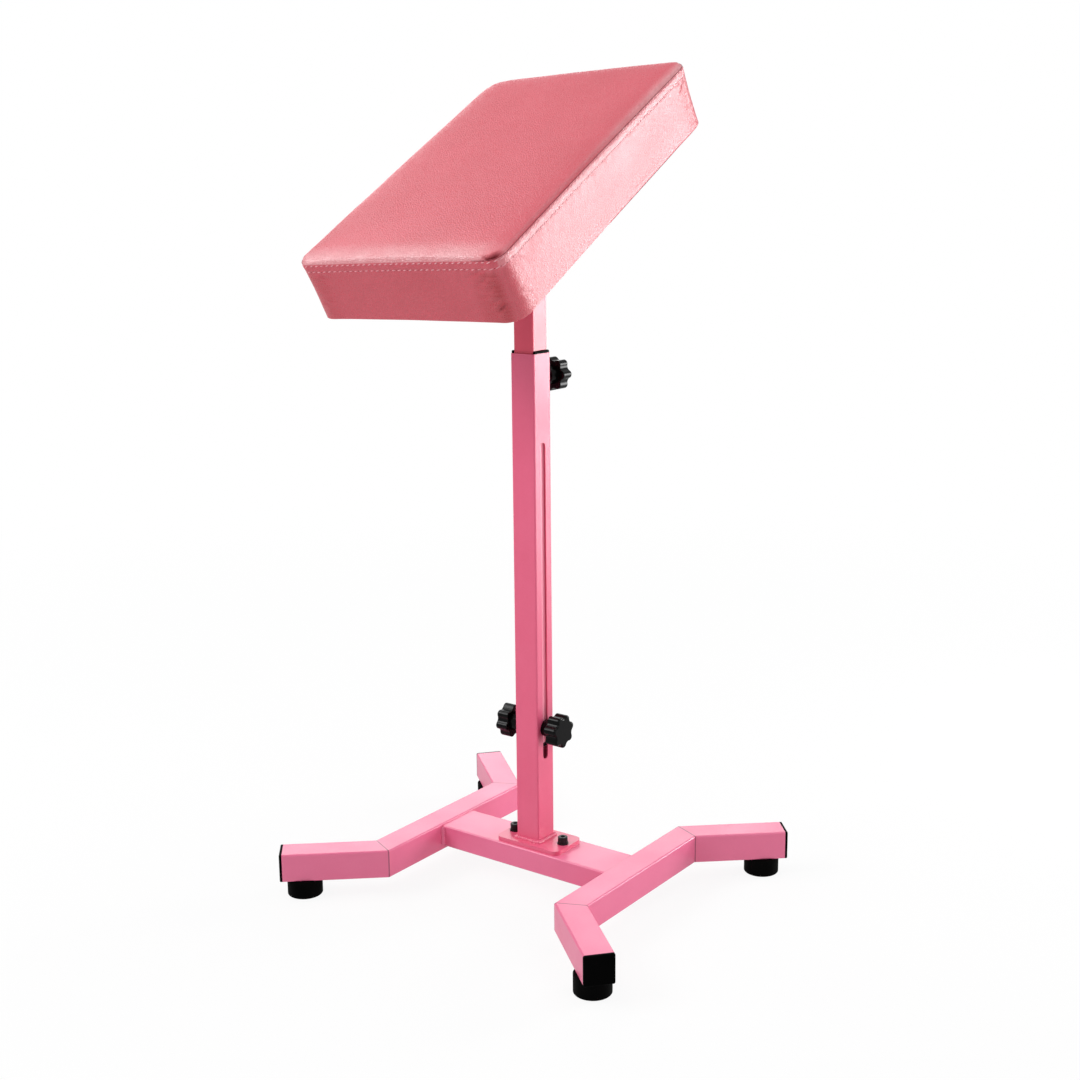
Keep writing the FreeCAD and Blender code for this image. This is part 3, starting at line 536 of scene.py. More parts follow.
leather = {
    "light": (0.735, 0.090, 0.132, 1),
    "deep": (0.680, 0.076, 0.112, 1),
    "patch": 14.0,
    "speckle": 420.0,
    "speckling": 0.25,
    "valley": (0.46, 0.045, 0.066, 1),
    "valleyShare": 0.35,
    # paler tone of leather stretched over the foam, which is also a painted sheen along those edges
    "stretchedSheenTone": (0.800, 0.330, 0.358, 1),
    "gatherShadeTone": (0.430, 0.004, 0.012, 1),
    "foldShadeTone": (0.100, 0.002, 0.005, 1),
    "roughness": (0.26, 0.38),
    "foldRoughness": 0.4,
    "gloss": 0.78,
    "grain": {"Pebble Scale": 440.0, "Pore Scale": 2300.0, "Pores": 0.22},
    "grainBump": (0.40, 0.00040),        # each bump has a strength and a depth
    "waveScale": 95.0,
    "waveBump": (0.25, 0.0006),
    "puckerScale": (26.0, 26.0, 420.0),
    "puckerBump": (0.9, 0.0016),
    "hollowShade": 1.30,
    "gatherShade": 0.35,
    "topGrain": 0.85,
    "sideGrain": 0.42,
    "edgeGrain": 0.70,
}
padMarks = ("fold", "pucker", "stretchSheen", "relief")        # values that the cushion's points carry


def leatherMaterial():
    material, tree, shader, coords = newMaterial("leatherPink")
    tone = toneOf(tree, coords, leather)
    grain = placeEffect(tree, "pebble", {"Vector": coords, **leather["grain"]})
    fold, pucker, stretchSheen, relief = (
        addNode(tree, "Attribute", attribute_name=mark).outputs["Fac"] for mark in padMarks)
    thin = addNode(tree, "Mapping", {"Vector": padCoords(tree, coords), "Scale": leather["puckerScale"]})
    lines = noiseOf(tree, thin.outputs["Vector"], 1.0)
    # Painted shade: the leather is darker in the hollows of the gathers and over the puckered zone near the
    # corners.
    hollow = times(tree, rangeOf(tree, lines, 1.0, 0.0), pucker)
    gathered = times(tree, pucker, leather["gatherShade"])
    gathers = plus(tree, times(tree, hollow, leather["hollowShade"]), gathered)
    valleys = times(tree, grain["Valley"], leather["valleyShare"])
    colour = blend(tree, valleys, tone["Color"], leather["valley"])
    # The stretched tone is partly a painted sheen; the gather and fold tones are painted shade.
    for share, over in ((stretchSheen, "stretchedSheenTone"), (gathers, "gatherShadeTone"), (fold, "foldShadeTone")):
        colour = blend(tree, share, colour, leather[over])
    waves = bumpFrom(tree, noiseOf(tree, coords, leather["waveScale"]), *leather["waveBump"])
    puckers = bumpFrom(tree, times(tree, lines, pucker), *leather["puckerBump"], waves)
    grained = rangeOf(tree, grain["Valley"], *leather["roughness"])
    feed(tree, shader, {
        "Base Color": colour,
        "Roughness": plus(tree, grained, times(tree, fold, leather["foldRoughness"])),
        # Painted shade: the fold mark darkens the colour and turns the reflection dark in folds and creases.
        "Metallic": fold,        # no white sheen deep in a fold
        "Specular IOR Level": leather["gloss"],
        "Normal": bumpFrom(tree, times(tree, grain["Height"], relief), *leather["grainBump"], puckers),
    })
    return material


usualPlain = {
    "speckling": 0.5,
    "metallic": 0.0,
    "coat": 0.0,
    "coatRoughness": 0.08,
    "finer": 4,
    "fineShare": 0.3,
}
plainFinishes = {
    "capPlastic": {
        "light": (0.0010, 0.0010, 0.0010, 1), "deep": (0.0006, 0.0006, 0.0006, 1), "patch": 40.0,
        "speckle": 1500.0, "roughness": (0.38, 0.52), "specular": 0.02, "ripple": 900.0,
        "strength": 0.35, "depth": 0.00008},
    "knobPlastic": {
        "light": (0.0012, 0.0012, 0.0013, 1), "deep": (0.0007, 0.0007, 0.0008, 1), "patch": 60.0,
        "speckle": 1200.0, "roughness": (0.14, 0.22), "specular": 0.11, "ripple": 420.0,
        "strength": 0.22, "depth": 0.00008, "coat": 0.05},
    "footRubber": {
        "light": (0.0016, 0.0016, 0.0016, 1), "deep": (0.0010, 0.0010, 0.0010, 1), "patch": 55.0,
        "speckle": 1300.0, "roughness": (0.55, 0.75), "specular": 0.03, "ripple": 1100.0,
        "strength": 0.5, "depth": 0.00012},
    "blackSteel": {
        "light": (0.030, 0.030, 0.032, 1), "deep": (0.014, 0.014, 0.015, 1), "patch": 120.0,
        "speckle": 2200.0, "roughness": (0.30, 0.46), "specular": 0.5, "ripple": 900.0,
        "strength": 0.25, "depth": 0.00005, "metallic": 0.75},
    "zincSteel": {
        "light": (0.62, 0.63, 0.62, 1), "deep": (0.50, 0.51, 0.49, 1), "patch": 140.0,
        "speckle": 1800.0, "roughness": (0.24, 0.42), "specular": 0.5, "ripple": 700.0,
        "strength": 0.3, "depth": 0.00005, "metallic": 1.0},
    "nylonWhite": {
        "light": (0.66, 0.64, 0.58, 1), "deep": (0.58, 0.56, 0.50, 1), "patch": 70.0,
        "speckle": 1500.0, "roughness": (0.40, 0.55), "specular": 0.4, "ripple": 800.0,
        "strength": 0.2, "depth": 0.00006},
    "seamThread": {
        "light": (0.92, 0.48, 0.52, 1), "deep": (0.84, 0.37, 0.42, 1), "patch": 700.0,
        "speckle": 4200.0, "roughness": (0.55, 0.75), "specular": 0.35, "ripple": 2600.0,
        "strength": 0.6, "depth": 0.00010},
    "seamShadow": {
        "light": (0.150, 0.022, 0.030, 1), "deep": (0.080, 0.010, 0.015, 1), "patch": 200.0,
        "speckle": 1500.0, "roughness": (0.75, 0.9), "specular": 0.1, "ripple": 1500.0,
        "strength": 0.3, "depth": 0.00006},
    "seatFoam": {
        "light": (0.78, 0.70, 0.45, 1), "deep": (0.70, 0.60, 0.35, 1), "patch": 60.0,
        "speckle": 900.0, "roughness": (0.85, 0.95), "specular": 0.1, "ripple": 1200.0,
        "strength": 0.8, "depth": 0.0004},
}


def plainMaterial(name):
    look = {**usualPlain, **plainFinishes[name]}
    material, tree, shader, coords = newMaterial(name)
    tone = toneOf(tree, coords, look)
    peel = placeEffect(tree, "peel", {
        "Vector": coords, "Ripple Scale": look["ripple"],
        "Fine Scale": look["ripple"] * look["finer"], "Fine Share": look["fineShare"],
    })
    feed(tree, shader, {
        "Base Color": tone["Color"],
        "Roughness": rangeOf(tree, tone["Mask"], *look["roughness"]),
        "Metallic": look["metallic"],
        "Specular IOR Level": look["specular"],
        "Coat Weight": look["coat"],
        "Coat Roughness": look["coatRoughness"],
        "Normal": bumpFrom(tree, peel["Height"], look["strength"], look["depth"]),
    })
    return material


# Sine bands along one direction, so many to the metre: at a scale of 1 the node turns 20 radians in a metre.
def bandsOf(tree, coords, direction, perMetre, distortion):
    inputs = {"Vector": coords, "Scale": perMetre * math.tau / 20, "Distortion": distortion}
    return addNode(tree, "TexWave", inputs, bands_direction=direction).outputs["Fac"]


liningLook = {
    "light": (0.030, 0.030, 0.032, 1),
    "deep": (0.012, 0.012, 0.013, 1),
    "patch": 30.0,
    "speckle": 1300.0,
    "speckling": 0.4,
    "threads": 582.6,
    "waver": 0.6,
    "roughness": (0.95, 0.75),
    "specular": 0.2,
    "sheen": 0.2,
    "strength": 0.6,
    "depth": 0.00018,
}


# Thin black woven dust cloth. The threads run along the pad's own two directions.
def liningMaterial():
    material, tree, shader, coords = newMaterial("liningCloth")
    level = padCoords(tree, coords)
    warp, weft = (bandsOf(tree, level, way, liningLook["threads"], liningLook["waver"]) for way in ("X", "Y"))
    weave = times(tree, warp, weft)
    feed(tree, shader, {
        "Base Color": toneOf(tree, coords, liningLook)["Color"],
        "Roughness": rangeOf(tree, weave, *liningLook["roughness"]),
        "Specular IOR Level": liningLook["specular"],
        "Sheen Weight": liningLook["sheen"],
        "Normal": bumpFrom(tree, weave, liningLook["strength"], liningLook["depth"]),
    })
    return material


plyLook = {
    "light": (0.62, 0.42, 0.24, 1),
    "deep": (0.42, 0.26, 0.13, 1),
    "grainScale": 3.0,
    "grainDetail": 5.0,
    "grainStretch": (60.0, 4.0, 60.0),
    "plies": 172.245,
    "waver": 0.4,
    "plyShade": (0.7, 1.3),
    "roughness": (0.7, 0.5),
    "strength": 0.4,
    "depth": 0.0002,
}


# Birch ply: long grain on the faces and layer lines round the edge.
def plywoodMaterial():
    material, tree, shader, coords = newMaterial("birchPly")
    level = padCoords(tree, coords)
    drawnOut = addNode(tree, "Mapping", {"Vector": level, "Scale": plyLook["grainStretch"]}).outputs["Vector"]
    fibres = noiseOf(tree, drawnOut, plyLook["grainScale"], plyLook["grainDetail"])
    layers = bandsOf(tree, level, "Z", plyLook["plies"], plyLook["waver"])
    both = times(tree, fibres, rangeOf(tree, layers, *plyLook["plyShade"]))
    feed(tree, shader, {
        "Base Color": colourRamp(tree, both, (0.25, plyLook["deep"]), (0.75, plyLook["light"])),
        "Roughness": rangeOf(tree, both, *plyLook["roughness"]),
        "Normal": bumpFrom(tree, both, plyLook["strength"], plyLook["depth"]),
    })
    return material


padPlace = {"pivotHeight": 0.7073, "tilt": 30.0}
padTurn = Matrix.Rotation(math.radians(padPlace["tilt"]), 4, "X")
padRest = Matrix.Translation((0, 0, padPlace["pivotHeight"])) @ padTurn

cushion = {
    "width": 0.257,
    "length": 0.372,
    "hemLow": 0.0331,
    "hemCorner": 0.020,
    "seamHeight": 0.0982,
    "seamInset": 0.0008,
    "seamCorner": 0.015,
    "crown": 0.0078,
    "blankRoll": 0.0026,
    "rollHeights": (0.0014, 0.0054),
    "rollWidths": (0.0010, 0.0080),
    "crownWidth": 0.072,
    "waist": 0.0003,
    "bow": 0.0014,
    "gridX": 62,
    "gridY": 92,
    "sideRows": 16,
    "lowering": 0.0016,
    "loweringReach": 0.010,
    "roundReach": 0.045,
    "leastCorner": 0.0002,
    "liningMargin": 0.0122,
    "turnSteps": (0.35, 0.70, 1.0),
    "turnTighter": 0.55,
    "turnLeast": 0.014,
    "liningTop": 0.0341,
    "grooveDepth": 0.0005,
    "grooveWidth": 0.0008,
    "bandDepth": 0.0090,
    "bandPuff": 0.0003,
    "rowDepths": (0.0022, 0.0092),
    "seamLean": 2.6,
    "hemLean": 1.8,
    "hemLift": 0.0006,
    "farLift": 0.0020,
    "farReach": 0.0028,
    "shift": -0.0048,
    "edgeBulge": 0.0020,
    "bulgeReach": 0.003,
    "cornerFade": (0.008, 0.050),
    "farStart": -0.12,
    "underReach": 0.0005,
    "farLeftPull": 0.0040,
    "pullReach": 0.022,
}
tiny = 0.00001


# Place on a rounded rectangle for a place on the square -1..1; corners are shared out evenly.
def ringPoint(shareX, shareY, halfX, halfY, corner, bow):
    absX, absY = abs(shareX) * halfX, abs(shareY) * halfY
    flatX, flatY = halfX - corner, halfY - corner
    if absX > flatX and absY > flatY:
        if abs(shareX) >= abs(shareY):
            angle = math.pi / 4 * (absY - flatY) / corner
        else:
            angle = math.pi / 2 - math.pi / 4 * (absX - flatX) / corner
        absX = flatX + corner * math.cos(angle)
        absY = flatY + corner * math.sin(angle)
    elif abs(shareX) >= abs(shareY):
        absX = halfX - bow * (1 - (absY / flatY) ** 2)
    else:
        absY = halfY - bow * (1 - (absX / flatX) ** 2)
    return math.copysign(absX, shareX), math.copysign(absY, shareY)


# Height of the coarse blank's top panel above the seam, at a distance in from the seam.
def blankCrown(inset):
    rolled = cushion["blankRoll"] * (1 - math.exp(-inset / cushion["rollWidths"][1]))
    return rolled + (cushion["crown"] - cushion["blankRoll"]) * smoothStep(inset, 0, cushion["crownWidth"])


# Height of the finished top panel: it rolls over steeply just inside the seam.
def fullCrown(inset):
    rolled = 0.0
    for height, width in zip(cushion["rollHeights"], cushion["rollWidths"]):
        rolled += height * (1 - math.exp(-max(inset, 0.0) / width))
    rest = cushion["crown"] - sum(cushion["rollHeights"])
    return rolled + rest * smoothStep(inset, 0, cushion["crownWidth"])


# How far the side panel stands in from the widest line; share is 0 at the hem and 1 at the seam.
def sideInset(share):
    waist = cushion["waist"] * max(math.sin(math.pi * share), 0.0) ** 0.8
    return waist + cushion["seamInset"] * share


# Top panel as a grid, its edge pulled down for the side panel and under for the hem.
def addCushionBlank():
    clearPicks()
    counts = {"x_subdivisions": cushion["gridX"], "y_subdivisions": cushion["gridY"]}
    bpy.ops.mesh.primitive_grid_add(size=2.0, **counts)
    pad = bpy.context.object
    pad.name = "padCushion"
    mesh = editMesh(pad)
    halfX = cushion["width"] / 2 - cushion["seamInset"]
    halfY = cushion["length"] / 2 - cushion["seamInset"]
    for vert in mesh.verts:
        shareX, shareY = vert.co.x, vert.co.y
        inset = min(halfX * (1 - abs(shareX)), halfY * (1 - abs(shareY)))
        ringX, ringY = halfX - inset, halfY - inset
        if min(ringX, ringY) < tiny / 10:
            place = (shareX * halfX, shareY * halfY)
        else:
            fading = max(1 - inset / cushion["roundReach"], 0.0)
            corner = max(cushion["seamCorner"] * fading, cushion["leastCorner"])
            corner = min(corner, ringX * 0.9, ringY * 0.9)
            onRingX = shareX * halfX / ringX
            onRingY = shareY * halfY / ringY
            place = ringPoint(onRingX, onRingY, ringX, ringY, corner, cushion["bow"] * fading)
        lowered = cushion["lowering"] * smoothStep(inset, 0, cushion["loweringReach"])
        vert.co = Vector((*place, cushion["seamHeight"] + blankCrown(inset) - lowered))
    bmesh.update_edit_mesh(pad.data)
    pickElements(pad, "EDGE", lambda edge: edge.is_boundary)
    fall = cushion["seamHeight"] - cushion["hemLow"]
    bpy.ops.mesh.extrude_region_move(TRANSFORM_OT_translate={"value": (0, 0, -fall)})
    pickElements(pad, "EDGE", lambda edge: abs(edge.verts[0].co.z - edge.verts[1].co.z) > fall * 0.9)
    bpy.ops.mesh.subdivide(number_cuts=cushion["sideRows"] - 1)
    mesh = bmesh.from_edit_mesh(pad.data)
    for vert in mesh.verts:
        if vert.co.z <= cushion["seamHeight"] - tiny:
            shapeSideVertex(vert, (vert.co.z - cushion["hemLow"]) / fall, halfX, halfY)
    bmesh.update_edit_mesh(pad.data)
    return pad


# Moves a point of the straight side wall to its place on the drawn-in, rounder wall.
def shapeSideVertex(vert, share, seamX, seamY):
    seamCorner = cushion["seamCorner"]
    corner = seamCorner + (cushion["hemCorner"] - seamCorner) * (1 - share)
    absX, absY = abs(vert.co.x), abs(vert.co.y)
    flatX, flatY = seamX - seamCorner, seamY - seamCorner
    inset = sideInset(share)
    halfX, halfY = cushion["width"] / 2 - inset, cushion["length"] / 2 - inset
    bow = cushion["bow"]
    if absX > flatX and absY > flatY:
        angle = math.atan2(absY - flatY, absX - flatX)
        absX = halfX - corner + corner * math.cos(angle)
        absY = halfY - corner + corner * math.sin(angle)
    elif absX > flatX:
        absY = absY * (halfY - corner) / flatY
        absX = halfX - bow * (1 - (absY / (halfY - corner)) ** 2)
    else:
        absX = absX * (halfX - corner) / flatX
        absY = halfY - bow * (1 - (absX / (halfX - corner)) ** 2)
    vert.co.x = math.copysign(absX, vert.co.x)
    vert.co.y = math.copysign(absY, vert.co.y)


# Hem turned under the board, then a step up at the lining's edge.
def closeUnderside(pad):
    low = cushion["hemLow"]
    margin = cushion["liningMargin"]
    halfX, halfY = cushion["width"] / 2, cushion["length"] / 2
    pickElements(pad, "EDGE", lambda edge: edge.is_boundary)
    turns = [(margin * step, low) for step in cushion["turnSteps"]]
    for inset, height in (*turns, (margin, cushion["liningTop"])):
        bpy.ops.mesh.extrude_region_move(TRANSFORM_OT_translate={"value": (0, 0, 0)})
        mesh = bmesh.from_edit_mesh(pad.data)
        corner = max(cushion["hemCorner"] - inset * cushion["turnTighter"], cushion["turnLeast"])
        for vert in mesh.verts:
            if not vert.select:
                continue
            absX, absY = abs(vert.co.x), abs(vert.co.y)
            angleX = absX - (halfX - cushion["hemCorner"])
            angleY = absY - (halfY - cushion["hemCorner"])
            newX, newY = halfX - inset, halfY - inset
            if angleX > 0 and angleY > 0:
                angle = math.atan2(angleY, angleX)
                absX = newX - corner + corner * math.cos(angle)
                absY = newY - corner + corner * math.sin(angle)
            elif absX / halfX > absY / halfY:
                absX = newX
                absY = min(absY, newY - corner)
            else:
                absY = newY
                absX = min(absX, newX - corner)
            vert.co = Vector((math.copysign(absX, vert.co.x), math.copysign(absY, vert.co.y), height))
        bmesh.update_edit_mesh(pad.data)
    leaveEdit()


inflation = {
    "frames": 20,
    "heldHem": 0.0035,
    "seamReach": 0.0004,
    "seamHold": 0.7,
    "topStart": 0.0002,
    "capTop": 0.0022,
    "capSide": 0.0012,
    "overCap": 0.10,
    "cloth": {"use_pressure": True, "uniform_pressure_force": 4.0, "quality": 5, "mass": 0.4,
              "tension_stiffness": 30, "compression_stiffness": 30, "shear_stiffness": 12,
              "bending_stiffness": 0.8},
}


# Cloth with inner pressure: the hem is held, the seam mostly held, and no point moves far past its cap.
def inflateCushion(pad):
    start = [vert.co.copy() for vert in pad.data.vertices]
    hold = pad.vertex_groups.new(name="heldCloth")
    for vert in pad.data.vertices:
        if vert.co.z < cushion["hemLow"] + inflation["heldHem"]:
            hold.add([vert.index], 1.0, "REPLACE")
        elif abs(vert.co.z - cushion["seamHeight"]) < inflation["seamReach"]:
            hold.add([vert.index], inflation["seamHold"], "REPLACE")
    cloth = pad.modifiers.new("Cloth", "CLOTH")
    cloth.settings.vertex_group_mass = hold.name
    for key, value in inflation["cloth"].items():
        setattr(cloth.settings, key, value)
    cloth.settings.effector_weights.gravity = 0.0
    cloth.collision_settings.use_self_collision = False
    scene = bpy.context.scene
    for span in (scene, cloth.point_cache):
        span.frame_start, span.frame_end = 1, inflation["frames"]
    for frameNumber in range(1, inflation["frames"] + 1):
        scene.frame_set(frameNumber)
    applyModifiers(pad)
    scene.frame_set(1)
    for vert, rest in zip(pad.data.vertices, start):
        shift = vert.co - rest
        onTop = rest.z > cushion["seamHeight"] + inflation["topStart"]
        limit = inflation["capTop"] if onTop else inflation["capSide"]
        if shift.length > limit:
            over = inflation["overCap"] * math.tanh(shift.length / limit - 1)
            shift = shift.normalized() * limit * (1 + over)
        vert.co = rest + shift
    pad.data.update()
    print("cushion inflated")


refining = {
    "seamReach": 0.0016,
    "seamDepth": 0.0030,
    "seamCrease": 0.75,
    "hemCrease": 0.6,
    "hemReach": 0.0002,
    "sideBand": 0.0125,
    "sideDepth": 0.0035,
    "topDepth": 0.0058,
    "rowHeight": 0.0010,
}


# One subdivision with the seam kept crisp, then finer rows beside the seam, and the lining's face.
def refineCushion(pad):
    mesh = editMesh(pad)
    crease = mesh.edges.layers.float.get("crease_edge") or mesh.edges.layers.float.new("crease_edge")
    top = cushion["seamHeight"]
    for edge in mesh.edges:
        heights = [vert.co.z for vert in edge.verts]
        lowest, highest = min(heights), max(heights)
        level = max(abs(height - top) for height in heights) < refining["seamReach"]
        outside = max(seamDistance(vert.co.x, vert.co.y) for vert in edge.verts) < refining["seamDepth"]
        reach = refining["hemReach"]
        if level and outside:
            edge[crease] = refining["seamCrease"]
        elif highest < cushion["liningTop"] + reach and lowest < cushion["hemLow"] + reach:
            edge[crease] = refining["hemCrease"] if highest - lowest < tiny else 0.0
    bmesh.update_edit_mesh(pad.data)
    leaveEdit()
    addModifier(pad, "SUBSURF", levels=1, render_levels=1)
    applyModifiers(pad)
    mesh = editMesh(pad)
    bands = [edge for edge in mesh.edges if crossesSeamBand(edge)]
    bmesh.ops.subdivide_edges(mesh, edges=bands, cuts=1, use_grid_fill=True)
    bmesh.update_edit_mesh(pad.data)
    pickElements(pad, "EDGE", lambda edge: edge.is_boundary)
    bpy.ops.mesh.fill(use_beauty=True)
    bpy.ops.mesh.select_all(action="SELECT")
    bpy.ops.mesh.normals_make_consistent(inside=False)
    leaveEdit()


# Distance in from an outline of the pad, seen from above; negative outside it.
def outlineDistance(x, y, drawnIn, corner):
    halfX = cushion["width"] / 2 - drawnIn
    halfY = cushion["length"] / 2 - drawnIn
    absX, absY = abs(x), abs(y)
    flatX, flatY = halfX - corner, halfY - corner
    if absX > flatX and absY > flatY:
        return corner - math.hypot(absX - flatX, absY - flatY)
    bowX = cushion["bow"] * (1 - min(absY / flatY, 1.0) ** 2)
    bowY = cushion["bow"] * (1 - min(absX / flatX, 1.0) ** 2)
    return min(halfX - bowX - absX, halfY - bowY - absY)


def seamDistance(x, y):
    return outlineDistance(x, y, cushion["seamInset"], cushion["seamCorner"])


# Edges that run across the seam's direction, close below or above it.
def crossesSeamBand(edge):
    first, second = (vert.co for vert in edge.verts)
    top, row = cushion["seamHeight"], refining["rowHeight"]
    inFirst, inSecond = seamDistance(first.x, first.y), seamDistance(second.x, second.y)
    nearest = min(inFirst, inSecond)
    lowest, highest = min(first.z, second.z), max(first.z, second.z)
    if lowest > top - refining["sideBand"] and highest < top + row and nearest < refining["sideDepth"]:
        return highest - lowest > row
    return lowest > top - row and nearest < refining["topDepth"] and abs(inFirst - inSecond) > row


creaseShape = {"ends": 0.7, "lip": 0.45, "lipPlace": 2.2}        # a crease pushes up a soft lip beside it
creases = [
    # side, start along it, start height, end along it, end height, depth, width
    ("front", 0.1080, 0.0905, 0.0820, 0.0800, 0.0007, 0.0016),
    ("front", 0.1120, 0.0850, 0.0900, 0.0700, 0.0008, 0.0018),
    ("front", 0.1160, 0.0760, 0.0980, 0.0610, 0.0007, 0.0018),
    ("front", 0.1180, 0.0520, 0.1040, 0.0440, 0.0014, 0.0016),
    ("front", 0.1170, 0.0600, 0.1010, 0.0530, 0.0008, 0.0018),
    ("front", -0.1080, 0.0900, -0.0880, 0.0790, 0.0006, 0.0017),
    ("front", -0.1140, 0.0560, -0.1020, 0.0470, 0.0007, 0.0017),
    ("right", -0.1680, 0.0900, -0.1500, 0.0790, 0.0005, 0.0017),
    ("right", -0.1720, 0.0560, -0.1580, 0.0480, 0.0006, 0.0018),
    ("right", 0.1680, 0.0880, 0.1520, 0.0760, 0.0005, 0.0017),
    ("left", -0.1680, 0.0880, -0.1520, 0.0760, 0.0006, 0.0017),
    ("left", 0.1680, 0.0880, 0.1520, 0.0780, 0.0006, 0.0017),
    ("left", 0.1710, 0.0560, 0.1570, 0.0470, 0.0007, 0.0018),
    ("back", 0.1080, 0.0900, 0.0900, 0.0790, 0.0006, 0.0017),
    ("back", -0.1080, 0.0880, -0.0900, 0.0770, 0.0006, 0.0017),
    ("back", -0.1140, 0.0540, -0.1020, 0.0460, 0.0007, 0.0018),
]

cornerFolds = [
    # corner, first and last angle round it, inset, width, depth, darkness: folds just inside the seam; the
    # darkness is painted shade in the fold
    ((1, -1), 8.0, 116.0, 0.0026, 0.0022, 0.0030, 1.0),
    ((-1, -1), 30.0, 75.0, 0.0020, 0.0016, 0.0008, 0.12),
    ((1, 1), 20.0, 70.0, 0.0020, 0.0016, 0.0008, 0.12),
    ((-1, 1), 20.0, 70.0, 0.0020, 0.0016, 0.0008, 0.12),
]


def creaseDepth(side, along, height):
    total = 0.0
    for name, startA, startH, endA, endH, depth, width in creases:
        if name != side:
            continue
        runA, runH = endA - startA, endH - startH
        length = math.hypot(runA, runH)
        share = ((along - startA) * runA + (height - startH) * runH) / length ** 2
        across = abs((along - startA) * runH - (height - startH) * runA) / length
        fade = max(math.sin(math.pi * min(max(share, 0.0), 1.0)), 0.0) ** creaseShape["ends"]
        lip = creaseShape["lip"] * hill(across - creaseShape["lipPlace"] * width, width)
        total += depth * fade * (hill(across, width) - lip)
    return total


foldShape = {"behind": -0.02, "start": (0.0, 0.35), "end": (0.75, 1.0)}


# 1 on a fold's line, falling off across it and towards its ends.
def foldCloseness(place, inset, corner, first, last, line, width):
    flatX = cushion["width"] / 2 - cushion["seamInset"] - cushion["seamCorner"]
    flatY = cushion["length"] / 2 - cushion["seamInset"] - cushion["seamCorner"]
    pastX, pastY = place.x * corner[0] - flatX, place.y * corner[1] - flatY
    angle = math.degrees(math.atan2(pastY, pastX))
    share = (angle - first) / (last - first)
    if not 0.0 < share < 1.0 or min(pastX, pastY) < foldShape["behind"]:
        return 0.0
    started = smoothStep(share, *foldShape["start"])
    return hill(inset - line, width) * started * (1 - smoothStep(share, *foldShape["end"]))


def sideOf(place):
    halfX, halfY = cushion["width"] / 2, cushion["length"] / 2
    gapX, gapY = halfX - abs(place.x), halfY - abs(place.y)
    if gapX < gapY:
        return ("right" if place.x > 0 else "left"), place.y
    return ("back" if place.y > 0 else "front"), place.x


# Heights and depths of the skin's small forms, and the scales of the noise that shapes them.
skinForms = {
    "hemReach": 0.0012,
    "hemInset": 0.001,
    "pleat": 0.0005,
    "pleatCentre": (0.108, 0.165),
    "pleatCount": 13.0,
    "pleatNear": (0.45, 0.95),
    "pleatEnd": (0.0095, 0.0115),
    "wave": 0.00045,
    "waveScale": (15.0, 22.0),
    "topInset": 0.0004,
    "topReach": 0.0006,
    "topGather": 0.00022,
    "topGatherScale": 150.0,
    "topGatherReach": 0.010,
    "lumps": (0.6, 0.4),
    "lumpScale": (55.0, 30.0),
    "longSideGather": 0.35,
    "puckerStart": (0.0100, 0.0160),
    "bandStart": (0.0006, 0.0030),
    "bandEnd": 0.0066,
    "rowGroove": 0.00018,
    "rowWidth": 0.0009,
    "sideGather": 0.00020,
    "cornerGather": 0.00050,
    "gatherScale": (135.0, 34.0),
    "gatherStart": 0.008,
    "gatherReach": 0.011,
    "creaseShade": 0.45,
    "creaseLimits": (0.0005, 0.0014),
    "fineFold": 0.00030,
    "fineFoldScale": (40.0, 260.0),
}


def noiseAt(x, y, z):
    return noise.noise(Vector((x, y, z)))


# How far the turned hem's pleats hang down near a corner.
def hemPleat(place, inset):
    near = smoothStep(cornerCloseness(place), *skinForms["pleatNear"])
    middleX, middleY = skinForms["pleatCentre"]
    angle = math.atan2(abs(place.y) - middleY, abs(place.x) - middleX)
    pleats = math.sin(angle * skinForms["pleatCount"])
    onHem = 1 - smoothStep(inset, *skinForms["pleatEnd"])
    return skinForms["pleat"] * near * max(pleats, 0.0) * onHem


